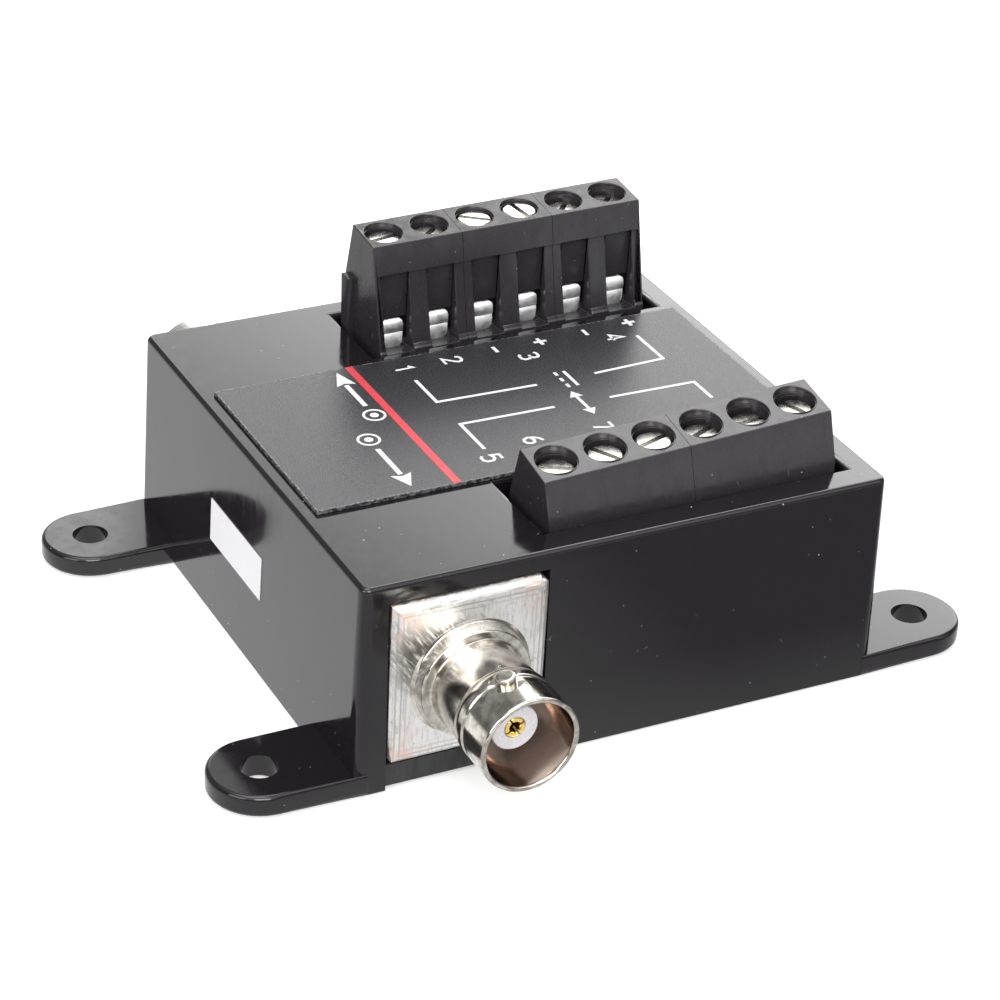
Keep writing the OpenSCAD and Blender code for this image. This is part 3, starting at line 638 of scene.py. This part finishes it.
def cut(block, cutters):
    """Subtract closed shapes from a closed one, all given as data, and give back data."""
    solids = []
    for data in [block] + cutters:
        solids.append(bpy.data.objects.new("cutting", clean_mesh("cutting", data, 1.0, 1e-5)))
        scene.collection.objects.link(solids[-1])
    for tool in solids[1:]:
        step = solids[0].modifiers.new("cut", "BOOLEAN")
        step.operation, step.solver, step.object = "DIFFERENCE", "EXACT", tool
    bpy.context.view_layer.update()
    ready = solids[0].evaluated_get(bpy.context.evaluated_depsgraph_get()).to_mesh()
    points = [tuple(v.co) for v in ready.vertices]
    faces = [tuple(face.vertices) for face in ready.polygons]
    for made in solids:
        bpy.data.objects.remove(made)
    return points, faces


print("mesh helpers ready")

# %% [markdown]
# ## Rounded edges for the mouldings
#
# The CAD solids have sharp edges. A moulded edge is never sharp: it has a radius of a tenth or two of
# a millimetre, which shows as a thin bright line. The mesh of a node is copied, its triangles are
# joined back into whole faces, and the edges that the eye can reach are bevelled.

# %% Soften a node
def soften(node, width, finish, steps=2, reach=None, angle=30.0):
    """A copy of a CAD node with small round edges, which stands for it. reach picks edges by place."""
    shape = bmesh.new()
    shape.from_mesh(nodes[node].data)
    bmesh.ops.remove_doubles(shape, verts=shape.verts, dist=2e-6)
    bmesh.ops.dissolve_limit(shape, angle_limit=math.radians(0.5), verts=shape.verts, edges=shape.edges)
    edges = []
    for edge in shape.edges:
        if len(edge.link_faces) != 2 or edge.calc_face_angle(0) < math.radians(angle):
            continue
        middle = (edge.verts[0].co + edge.verts[1].co) / (2 * MM)
        if reach is None or reach(middle):
            edges.append(edge)
    bmesh.ops.bevel(shape, geom=edges, offset=width * MM, offset_type="OFFSET", segments=steps,
                    profile=0.5, affect="EDGES", clamp_overlap=False)
    mesh = bpy.data.meshes.new(node + "_rounded")
    shape.to_mesh(mesh)
    shape.free()
    body = nodes[node].parent.name.replace(body_prefix, "")
    return place_piece(node + "_rounded", mesh, finish, body, (node,), 40.0)


first_body, first_empty = next(iter(frame["bodies"].items()))
body_prefix = first_empty.name.replace(first_body, "")


def row_place(y, h, lean):
    """From a row's own millimetres, with z up from the board, to the object's."""
    return (Matrix.Translation(Vector((row_x, y, deck + h))) @ Matrix.Rotation(-lean, 4, "Y")
            @ Matrix.Translation(Vector((0, 0, -h))))


def pole(row, i, height=0.0):
    """The place of one pole of a row, at a height above the board."""
    return row @ Matrix.Translation(Vector(((i - 2.5) * pitch, 0, height)))


rear_row = row_place(rear_y, rear_h, rear_lean)
front_row = row_place(front_y, front_h, front_lean)


def case_edge(p):
    """The top edges, the windows, and the outlines of the ears away from the walls and the holes."""
    hole = math.hypot(abs(p.x) - ear_x, abs(p.y) - ear_y) < 2.6
    return p.z > case_h - 0.6 or (abs(p.x) > ear_start and not hole)


def row_edge(back, joints, top, front, rear):
    """Edges of a block that the eye reaches, without the thin joints between two blocks."""
    def reach(p):
        q = back @ p
        at_joint = any(abs(q.x - u) < 0.3 for u in joints)
        return not at_joint and (q.z > top or q.y < front or q.y > rear)
    return reach


soften("enclosure", 0.48, case_black, 4, case_edge)
soften("top_label", 0.06, label_film)
soften("side_sticker", 0.03, sticker_white)
for i in (1, 2, 3):
    soften("rear_housing_%d" % i, 0.1, block_black, 2,
           row_edge(rear_row.inverted(), (-pitch, pitch), 11.5, -2.6, 2.3))
for i in (1, 2):
    soften("front_housing_%d" % i, 0.1, block_black, 2,
           row_edge(front_row.inverted(), (0,), 7, -2.5, 2.4))
print("edges rounded, bodies named with", repr(body_prefix))

# %% [markdown]
# ## The jack's shell
#
# The shell is a zinc casting that is plated with nickel: a square plate with a filed rim, a collar, a
# barrel turned on a lathe, and two round studs that hold the plug's locking ring. Turned parts are made
# the way a lathe makes them, from a profile and one full turn, with every corner of the profile
# rounded. The flats under the studs are cut out with a boolean. The jack's own frame has its origin on
# its axis in the plate's face, with z pointing out of the mouth.

# %% Barrel and studs
barrel_profile = round_corners([
    (mouth_r - 0.17, 3.76), (mouth_r - 0.17, barrel_len - 3.9), (mouth_r, barrel_len - 1.6),
    (mouth_r, barrel_len - 0.2), (mouth_r + 0.16, barrel_len), (barrel_r - 0.14, barrel_len),
    (barrel_r, barrel_len - 0.16), (barrel_r, 8.35), (barrel_r - 0.14, 8.2), (barrel_r - 0.14, 8.08),
    (barrel_r, 7.9), (barrel_r + 0.02, 7.2), (barrel_r - 0.03, 6.7), (barrel_r - 0.2, 6.31),
    (barrel_r - 0.2, 1.45), (5.44, 1.45), (5.54, 1.3), (5.72, 0.16), (6.04, 0), (6.04, -1),
    (shell_bore, -1), (shell_bore, 3.76)],
    [0.05, 0.7, 0.7, 0.12, 0.12, 0.1, 0.12, 0.06, 0.06, 0.05, 0.12, 0.3, 0.25, 0.12,
     0.18, 0.1, 0.12, 0.14, 0.02, 0.02, 0.05, 0.05])
barrel = lathe(barrel_profile, 144)


def about_stud(side):
    """From a stud's own frame, with z outwards, to the jack's, for the upper or lower stud."""
    return (Matrix.Rotation(stud_angle + (0 if side > 0 else math.pi), 4, "Z")
            @ Matrix.Translation(Vector((0, 0, barrel_len - stud_back)))
            @ Matrix.Rotation(-math.pi / 2, 4, "X"))


seat_r, stud_r = 1.55, 0.96
seat_profile = [(0, barrel_r - 0.23), (seat_r, barrel_r - 0.23), (seat_r, 6), (0, 6)]
stud_profile = [(0, mouth_r + 0.06), (stud_r, mouth_r + 0.06), (stud_r, 5.26), (0.9, 5.42), (0.72, 5.47),
                (0, 5.47)]
seats, studs = [], []
for side in (1, -1):
    seats.append(moved(about_stud(side), lathe(seat_profile, 48)))
    stud = lathe(round_corners(stud_profile, [0, 0, 0.1, 0.06, 0.08, 0]), 40)
    studs.append(moved(about_stud(side), stud))
barrel = cut(barrel, seats)
print("barrel", len(barrel[0]), "points with two seats and two studs")

# %% Square plate and the body behind it
dice = random.Random(5)


def plate_outline(spacing=0.35):
    """The plate's outline from the lower left: one rounded corner, one clipped, walked in short steps."""
    corners = [(left + plate_round, low), (right, low), (right, high - plate_clip),
               (right - plate_clip, high), (left, high), (left, low + plate_round)]
    corners += [(left + plate_round - math.cos(a), low + plate_round - math.sin(a)) for a in (0.35, 0.8, 1.2)]
    path = []
    for i, start in enumerate(corners):
        a, b = Vector(start), Vector(corners[(i + 1) % len(corners)])
        pieces = max(1, int((b - a).length / spacing))
        path += [a.lerp(b, k / pieces) for k in range(pieces)]
    return path


outline = plate_outline()
rings = []
# from the back of the rim to its front: inset, height, and how ragged the file left it
rim_steps = ((0.0, -2.0, 0.0), (0.0, -0.75, 0.03), (0.06, -0.58, 0.05), (0.24, -0.4, 0.05),
             (0.33, -0.24, 0.05), (0.55, -0.1, 0.05), (0.66, -0.02, 0.04), (0.9, 0.0, 0.0))
for inset, height, ragged in rim_steps:
    ring = []
    for p in outline:
        x = min(max(p.x, left + inset), right - inset)
        y = min(max(p.y, low + inset), high - inset)
        burr = dice.uniform(-1, 1) * ragged * 0.35
        top_burr = 0.0
        if p.y > high - 0.1 and 0.02 < inset < 0.5:
            top_burr = max(0.0, dice.uniform(-1.5, 1)) * 0.1
        ring.append((x, y - (top_burr * 0.8 if inset > 0.02 else 0), height + burr + top_burr))
    rings.append(ring)
body_low, body_half_w, body_h = 4.8 - jack_z, 7.2, 14.1
body_block = prism(round_corners([(-body_half_w, body_low), (body_half_w, body_low),
                                  (body_half_w, body_low + body_h),
                                  (-body_half_w, body_low + body_h)], 0.5), -11.2, -1.9)
body_block = cut(body_block, [lathe([(0, -12), (shell_bore, -12), (shell_bore, -1.0), (0, -1.0)], 64)])
plate = cut(stack(rings), [lathe([(0, -3), (shell_bore, -3), (shell_bore, 2), (0, 2)], 64)])
posts = []
post_profile = [(0, body_low - 2.2), (0.6, body_low - 2.2), (0.6, body_low + 0.3), (0, body_low + 0.3)]
for x in (-5.08, 5.08):
    for back in (4.2, 9.2):
        post = lathe(round_corners(post_profile, [0, 0.1, 0, 0]), 24)
        posts.append(([(px + x, pz, -back + py) for px, py, pz in post[0]], post[1]))
print("plate", len(plate[0]), "points, body and", len(posts), "posts")

# %% [markdown]
# ## The lip of the centre contact
#
# The contact is a gold tube that takes the plug's pin. Its mouth has a thin round lip, and two narrow
# cuts across it let its four tongues spring.

# %% Lip of the centre contact
contact_face = barrel_len - contact_depth
lip_r, inner_r, gap_half = 0.97, 0.52, 0.08
liner_profile = [(inner_r, contact_face - 4.5), (0.73, contact_face - 4.5), (0.73, contact_face - 0.2),
                 (lip_r, contact_face - 0.14), (lip_r, contact_face + 0.02),
                 (inner_r + 0.1, contact_face + 0.02), (inner_r, contact_face - 0.14)]
liner = lathe(round_corners(liner_profile, [0, 0, 0, 0, 0.06, 0.05, 0.03]), 48)
gap_outline = [(-2, -gap_half), (2, -gap_half), (2, gap_half), (-2, gap_half)]
gaps = []
for turned in (30, 120):
    turn = Matrix.Rotation(math.radians(turned), 4, "Z")
    gaps.append(moved(turn, prism(gap_outline, contact_face - 0.8, contact_face + 1)))
liner = cut(liner, gaps)
print("contact lip", len(liner[0]), "points")

# %% [markdown]
# ## Both jacks in place
#
# The front jack and the rear jack are the same part, one turned to -Y and the other to +Y.

# %% Place both jacks
for end, sign in (("front", -1), ("rear", 1)):
    def laid(data):
        """From the jack's own frame to the object's, pointing to the front or the rear."""
        return [(jack_x + x, sign * (plate_y + z), jack_z + y) for x, y, z in data[0]], data[1]
    shell = gathered([laid(part) for part in [barrel] + studs + posts + [body_block]])
    skin = nickel if end == "front" else bright_nickel
    add_piece(end + "_jack_barrel", shell, skin, "base", (end + "_jack_shell",), 38.0)
    add_piece(end + "_jack_plate", laid(plate), plate_nickel, "base", (), 24.0)
    add_piece(end + "_jack_lip", laid(liner), gold, "base", (), 40.0)
    soften(end + "_jack_insulator", 0.08, insulator_white)
    soften(end + "_jack_contact", 0.04, gold)
print("both jacks placed")

# %% [markdown]
# ## The terminal screws
#
# Each screw has a cheese head with a slot, a thread and a thin neck that turns in the pressure foot.
# The CAD solid has a plain shank. Here the thread is a real helix: the radius rises and falls along
# the shank, and one full turn moves it on by one pitch of 0.45 mm, which is also how far one turn of
# the joint lifts the foot. How far each head is sunk in its bore, and where its slot points, is as in
# the photograph.

# %% Screws
thread_pitch, crest, root = 0.45, 1.25, 1.02
head_r, slot_half, slot_deep = 1.78, 0.3, 0.65


def threaded_shank(length):
    """A closed shank whose surface is one long helix, with smooth ends."""
    segments, rows = 28, int(length / thread_pitch * 8)
    rings = []
    for r in range(rows + 1):
        z = -length + length * r / rows
        ring = []
        for k in range(segments):
            turn_part = (z / thread_pitch + k / segments) % 1.0
            ridge = 1 - abs(turn_part * 2 - 1)
            fade = min(1.0, (length + z) / 0.5, -z / 0.3)
            radius = root + (crest - root) * min(1.0, ridge * 1.3) * max(0.0, fade)
            angle = 2 * math.pi * k / segments
            ring.append((radius * math.cos(angle), radius * math.sin(angle), z))
        rings.append(ring)
    return stack(rings)


def screw_data(head_t, length):
    """Head with its slot, threaded shank and neck."""
    head = lathe(round_corners([(0, 0), (head_r, 0), (head_r, head_t - 0.16), (head_r - 0.18, head_t),
                                (0, head_t)], [0, 0.1, 0.14, 0.1, 0]), 64)
    slot_shape = [(-3, -slot_half), (3, -slot_half), (3, slot_half), (-3, slot_half)]
    head = cut(head, [prism(slot_shape, head_t - slot_deep, head_t + 1)])
    neck = lathe([(0, -length - 0.4), (0.6, -length - 0.4), (0.6, -length + 0.05), (0, -length + 0.05)], 24)
    return gathered([head, threaded_shank(length), neck])


sunk = {"rear": (0.67, 1.0, 0.24, 0.19, 0.92, 1.06), "front": (0.86, 0.66, 0.57, 1.02, 1.1, 0.9)}
slot_turn = {"rear": (9, 39, -37, -85, 50, 48), "front": (-34, -64, 16, 22, 1, -71)}
for row, place, top, head_t, length in (("rear", rear_row, rear_h, 1.6, 5.0),
                                        ("front", front_row, front_h, 1.0, 3.2)):
    data = screw_data(head_t, length)
    for i in range(6):
        seat = (pole(place, i, top - sunk[row][i] - head_t)
                @ Matrix.Rotation(math.radians(slot_turn[row][i]), 4, "Z"))
        node = "%s_screw_%d" % (row, i + 1)
        piece = add_piece(node + "_cut", moved(seat, data), screw_nickel, node, (node,), 45.0)
    print(row, "screws", len(data[1]), "faces each")

# %% [markdown]
# ## Rings in the screw bores
#
# The tool that moulds a bore is turned in steps, and each step leaves a fine ridge round the wall. The
# ridges catch the light as two thin arcs above every screw, so they are worth a small ring each.

# %% Bore rings
ridge_depths, ridge_in, ridge_back = (0.32, 0.62), 0.07, 0.05
for row, place, top, bore_r in (("rear", rear_row, rear_h, 1.95), ("front", front_row, front_h, 2.03)):
    rings = []
    for i in range(6):
        seat = pole(place, i, top)
        deepest = sunk[row][i] + (0.0 if sunk[row][i] > 0.4 else 0.3)
        for depth in ridge_depths:
            if depth > deepest - 0.12:
                continue
            ridge = [(bore_r + ridge_back, -depth - 0.1), (bore_r - ridge_in, -depth - 0.04),
                     (bore_r - ridge_in, -depth + 0.02), (bore_r + ridge_back, -depth + 0.06)]
            rings.append(moved(seat, lathe(round_corners(ridge, 0.02, 2), 48)))
    add_piece(row + "_bore_rings", gathered(rings), block_black, "base", (), 50.0)
    print(row, "bore rings", len(rings))

# %% [markdown]
# ## The wire guards
#
# Under each screw a thin tinned leaf hangs in the wire entry. It has a crease across the middle and
# round upper corners, and it is the brightest thing on the dark blocks. Each leaf is drawn as a bent
# strip with some thickness.

# %% Guard leaves
def leaf(place, side, foot_w, crease_w, top_w):
    """One leaf, from its foot over its crease to its top. side is 1 for entries towards -Y, else -1."""
    path = [(-2.72, foot_w), (-2.77, foot_w + 0.3), (-2.78, crease_w - 0.75), (-2.74, crease_w - 0.4),
            (-2.66, crease_w - 0.12), (-2.6, crease_w), (-2.7, crease_w + 0.1), (-2.77, crease_w + 0.3),
            (-2.76, crease_w + 0.7), (-2.68, top_w - 0.4), (-2.58, top_w - 0.2), (-2.46, top_w - 0.06),
            (-2.36, top_w)]
    across, half_w, corner, thick = 8, 1.12, 0.45, 0.22
    points, faces = [], []
    for v, w in path:
        gap = top_w - w
        trim = corner - math.sqrt(max(0.0, corner ** 2 - max(0.0, corner - gap) ** 2))
        foot_trim = max(0.0, 0.35 - (w - foot_w)) * 0.7
        half = half_w - trim - foot_trim - 0.1 * max(0.0, crease_w - w)
        for k in range(across + 1):
            u = -half + 2 * half * k / across
            bow = 0.03 * (1 - (2 * k / across - 1) ** 2)
            points.append((u, side * (v - bow), w))
            points.append((u, side * (v - bow + thick), w - 0.02))
    width = 2 * (across + 1)
    for r in range(len(path) - 1):
        for k in range(across):
            a, b = r * width + 2 * k, (r + 1) * width + 2 * k
            faces.append((a, a + 2, b + 2, b))
            faces.append((a + 1, b + 1, b + 3, a + 3))
        for k in (0, across):
            a, b = r * width + 2 * k, (r + 1) * width + 2 * k
            faces.append((a, b, b + 1, a + 1))
    for r in (0, len(path) - 1):
        for k in range(across):
            a = r * width + 2 * k
            faces.append((a, a + 1, a + 3, a + 2))
    return moved(place, (points, faces))


for row, place, side, heights in (("rear", rear_row, 1, (3.48, 5.0, 6.5)),
                                  ("front", front_row, -1, (1.65, 3.3, 4.95))):
    strips = gathered([leaf(pole(place, i), side, *heights) for i in range(6)])
    leaves = add_piece(row + "_guard_leaves", strips, leaf_tin, "base", (row + "_wire_guards",), 28.0)
print("guard leaves bent")

# %% [markdown]
# ## Print on the label
#
# The label is printed in white and red: a red stripe, two arrows to the jacks, brackets over the groups
# of poles, plain numerals, signs for plus and minus, a supply sign and a two-way arrow. Everything is
# drawn as strokes: a path is turned into a band of even width and raised by a hundredth of a
# millimetre, like a real ink layer.

# %% Strokes and numerals
def band(path, width):
    """The outline of a stroke of even width along a path of two or more points."""
    line = [Vector(p) for p in path]
    left_side, right_side = [], []
    for i, p in enumerate(line):
        ahead = line[min(i + 1, len(line) - 1)] - p
        behind = p - line[max(i - 1, 0)]
        ahead = ahead.normalized() if ahead.length else behind.normalized()
        behind = behind.normalized() if behind.length else ahead
        mean = (ahead + behind).normalized()
        stretch = 1 / max(0.5, mean.dot(ahead))
        across = Vector((-mean.y, mean.x)) * width / 2 * stretch
        left_side.append(tuple(p + across))
        right_side.append(tuple(p - across))
    return left_side + right_side[::-1]


NUMERALS = {
    "1": [[(0.08, 0.78), (0.3, 1), (0.3, 0)]],
    "2": [[(0, 0.76), (0.06, 0.92), (0.2, 1), (0.4, 1), (0.55, 0.9), (0.58, 0.74), (0.5, 0.58), (0, 0),
           (0.62, 0)]],
    "3": [[(0, 0.9), (0.15, 1), (0.42, 1), (0.56, 0.88), (0.55, 0.66), (0.4, 0.54), (0.2, 0.54)],
          [(0.4, 0.54), (0.58, 0.42), (0.6, 0.16), (0.44, 0), (0.15, 0), (0, 0.1)]],
    "4": [[(0.46, 0), (0.46, 1), (0, 0.32), (0.64, 0.32)]],
    "5": [[(0.55, 1), (0.1, 1), (0.05, 0.56), (0.2, 0.63), (0.42, 0.62), (0.57, 0.48), (0.58, 0.16),
           (0.43, 0), (0.15, 0), (0, 0.1)]],
    "6": [[(0.5, 0.98), (0.24, 0.86), (0.06, 0.6), (0, 0.3), (0.1, 0.07), (0.3, 0), (0.5, 0.07),
           (0.6, 0.28), (0.52, 0.47), (0.3, 0.55), (0.1, 0.46)]],
    "7": [[(0, 1), (0.6, 1), (0.24, 0)]]}
print("numerals", "".join(NUMERALS))

# %% White and red print
ink_low, ink_high = label_top - 0.005, label_top + 0.012
white, red = [], []


def patch_of(layer, outline):
    """Add one filled outline, given in the label's x and y, to a layer of ink."""
    layer.append(prism(outline, ink_low, ink_high))


def stroke(layer, path, width=0.34):
    """Add one stroke to a layer of ink."""
    patch_of(layer, band(path, width))


def numeral(sign, x, y, size=1.9, width=0.3):
    """A numeral that reads from the left side of the case: its top points to +X."""
    for path in NUMERALS[sign]:
        stroke(white, [(x + (b - 0.5) * size, y - (a - 0.3) * size) for a, b in path], width)


def ring_of(layer, x, y, radius, width=0.26):
    """A printed circle."""
    steps = 28
    outer, inner = ([(x + r * math.cos(2 * math.pi * k / steps), y + r * math.sin(2 * math.pi * k / steps))
                     for k in range(steps)] for r in (radius + width / 2, radius - width / 2))
    points = [(px, py, z) for z in (ink_low, ink_high) for path in (outer, inner) for px, py in path]
    faces = []
    for k in range(steps):
        j = (k + 1) % steps
        o, i, up = 0, steps, 2 * steps
        faces += [(o + k, o + j, up + o + j, up + o + k), (i + k, up + i + k, up + i + j, i + j),
                  (up + o + k, up + o + j, up + i + j, up + i + k), (o + k, i + k, i + j, o + j)]
    layer.append((points, faces))


patch_of(red, [(-11.75, 12.0), (-10.95, 12.0), (-10.95, -13.0), (-11.75, -13.0)])
arrows = (([(-13.12, 3.9), (-13.12, 8.5)],
           [(-14.1, 8.5), (-12.94, 11.28), (-12.1, 8.5), (-13.1, 8.9)]),
          ([(-15.65, -4.4), (-15.65, -9.6)],
           [(-16.7, -9.6), (-15.65, -11.98), (-14.6, -9.6), (-15.65, -10.0)]))
for shaft, head in arrows:
    stroke(white, shaft, 0.5)
    patch_of(white, head)
for bracket in ([(-6.3, 7.0), (-6.3, 2.1), (4.5, 1.75)], [(11.0, 1.85), (19.0, 2.18), (19.0, 7.66)],
                [(-6.16, -8.1), (-6.16, -2.8), (4.0, -3.0)], [(10.0, -3.2), (19.4, -3.4), (19.4, -7.0)]):
    stroke(white, bracket, 0.36)
# two minus signs, then two plus signs
for x, y in ((4.04, 10.1), (14.36, 10.2)):
    stroke(white, [(x, y + 0.62), (x, y - 0.62)], 0.38)
for x, y in ((9.1, 10.05), (19.6, 10.6)):
    stroke(white, [(x, y + 0.72), (x, y - 0.72)], 0.38)
    stroke(white, [(x - 0.72, y), (x - 0.2, y)], 0.38)
    stroke(white, [(x + 0.2, y), (x + 0.72, y)], 0.38)
for sign, x, y in (("1", -6.3, 9.6), ("2", -1.0, 9.6), ("3", 6.6, 7.6), ("4", 16.7, 8.2),
                   ("5", -6.3, -9.9), ("6", -1.0, -8.2), ("7", 6.5, -8.2)):
    numeral(sign, x, y)
# supply sign in the gap of the rear bracket, and a two-way arrow in the front one
stroke(white, [(8.3, 3.4), (8.3, 0.2)])
for y in (3.1, 1.8, 0.5):
    stroke(white, [(7.3, y + 0.35), (7.3, y - 0.35)])
stroke(white, [(7.0, -1.9), (7.0, -4.5)])
patch_of(white, [(6.3, -1.9), (7.0, -0.7), (7.7, -1.9)])
patch_of(white, [(6.3, -4.5), (7.7, -4.5), (7.0, -5.7)])
# a jack seen from its end, next to each arrow
for x, y in ((-13.1, 1.9), (-15.65, -2.4)):
    ring_of(white, x, y, 1.05)
    ring_of(white, x, y, 0.26, 0.36)
for name, layer, finish in (("white_print", white, ink_white), ("red_print", red, ink_red)):
    add_piece(name, gathered(layer), finish, "base")
    print(name, len(layer), "shapes")

# %% [markdown]
# ## Floor, world and lamps
#
# The photograph has a white sweep and soft light from above and behind. The floor is white to the
# camera and still takes the object's shadow. What glossy surfaces mirror is set apart: for them the
# floor is a glow with a painted shadow in front of the case and painted light beside the jack and far
# away, and the world holds a bright panel behind, a narrow strip and a front box.

# %% Floor
floor_mesh = bpy.data.meshes.new("floor")
shape = bmesh.new()
bmesh.ops.create_grid(shape, x_segments=1, y_segments=1, size=3.0)
shape.to_mesh(floor_mesh)
shape.free()
floor = bpy.data.objects.new("floor", floor_mesh)
scene.collection.objects.link(floor)
floor.location.z = -0.0002
floor_white = bpy.data.materials.new("floor_white")
floor_white.use_nodes = True
tree = floor_white.node_tree
tree.nodes.clear()
paint = put(tree, "BsdfDiffuse", {"Color": (0.85, 0.85, 0.85, 1)})
glow = put(tree, "Emission", {"Color": (1, 1, 1, 1), "Strength": 0.4})
# painted shadow and light for glossy surfaces: the floor glows dark in front of the case, brighter beside the
# jack and far away
spread = parts_of(tree, millimetres(tree))
painted_shadow_and_light = ramp(tree, spread[1], -38.0, -16.0, 0.3, 1.25)
painted_light_beside_jack = times(tree, ramp(tree, spread[0], 16.0, -2.0, 0.0, 0.5), ramp(tree, spread[1], -16.0, -38.0))
painted_shadow_and_light = plus(tree, painted_shadow_and_light, painted_light_beside_jack)
painted_light_far_off = ramp(tree, spread[1], -120.0, -70.0, 0.75, 0.0)
painted_floor_reflection = put(tree, "Emission", {"Color": (1, 1, 1, 1), "Strength": plus(tree, painted_shadow_and_light, painted_light_far_off)})
path = put(tree, "LightPath").outputs
seen = larger(tree, path["Is Camera Ray"], path["Is Transmission Ray"])
lit = put(tree, "AddShader", {0: paint.outputs[0], 1: glow.outputs[0]})
plain = put(tree, "MixShader", {0: seen, 1: paint.outputs[0], 2: lit.outputs[0]})
mix = put(tree, "MixShader", {0: path["Is Glossy Ray"], 1: plain.outputs[0], 2: painted_floor_reflection.outputs[0]})
put(tree, "OutputMaterial", {0: mix.outputs[0]})
floor_mesh.materials.append(floor_white)
print("floor made")

# %% World and lamps
world = bpy.data.worlds.new("studio")
scene.world = world
world.use_nodes = True
tree = world.node_tree
tree.nodes.clear()
path = put(tree, "LightPath").outputs
seen = larger(tree, path["Is Camera Ray"], path["Is Transmission Ray"])
way = put(tree, "TexCoord").outputs["Generated"]
# a bright panel behind the object, seen only in a window of directions
panel_way = (0.701, 0.056, -0.711)
lean = put(tree, "VectorMath", {0: way, 1: panel_way}, operation="DOT_PRODUCT").outputs["Value"]
panel = ramp(tree, lean, -0.085, 0.06, 1.42, 5.3)
parts = parts_of(tree, way)
window = times(tree, ramp(tree, parts[1], 0.25, 0.45), ramp(tree, parts[2], 0.12, 0.3))
window = times(tree, window, ramp(tree, lean, -0.3, -0.12, 0.1, 1.0))
panel = times(tree, window, panel)
# a narrow strip beside it, and a box in front
swing = minus(tree, parts[0], times(tree, parts[1], 0.37))
lobe = times(tree, ramp(tree, swing, -0.012, 0.006, 2.6, 0.0), ramp(tree, swing, -0.3, -0.15))
lobe = times(tree, lobe, ramp(tree, parts[2], 0.44, 0.5))
lobe = times(tree, lobe, ramp(tree, parts[2], 0.52, 0.56, 1.0, 0.0))
front_box = times(tree, ramp(tree, parts[1], -0.2, -0.45), ramp(tree, parts[2], 0.3, 0.5))
front_box = times(tree, front_box, 1.6)
mirrored = plus(tree, plus(tree, panel, lobe),
                plus(tree, front_box, ramp(tree, parts[2], 0.7, 0.9, 0.2, 1.0)))
glossy = times(tree, path["Is Glossy Ray"], mirrored)
rest = minus(tree, 1.0, larger(tree, path["Is Glossy Ray"], seen))
strength = plus(tree, plus(tree, glossy, seen), times(tree, rest, 0.55))
sky = put(tree, "Background", {"Color": (1, 1, 1, 1), "Strength": strength})
put(tree, "OutputWorld", {0: sky.outputs[0]})


aim = Vector((0, 0, 0.02))


def lamp(name, place, size, power):
    """A soft square lamp at a place in metres, aimed at the object."""
    data = bpy.data.lights.new(name, "AREA")
    data.shape = "RECTANGLE"
    data.size = data.size_y = size
    data.energy = power
    made = bpy.data.objects.new(name, data)
    scene.collection.objects.link(made)
    made.location = place
    made.rotation_euler = (aim - Vector(place)).to_track_quat("-Z", "Y").to_euler()


lamp("back_box", (0.295, 0.351, 0.655), 0.35, 1.6)
lamp("top_box", (-0.15, 0.0, 0.9), 0.5, 3.0)
lamp("left_box", (-0.8, -0.3, 0.45), 0.5, 3.0)
lamp("front_box", (-0.3, -1.0, 0.75), 0.6, 9.0)
scene.view_settings.view_transform = "Standard"
print("studio lit")
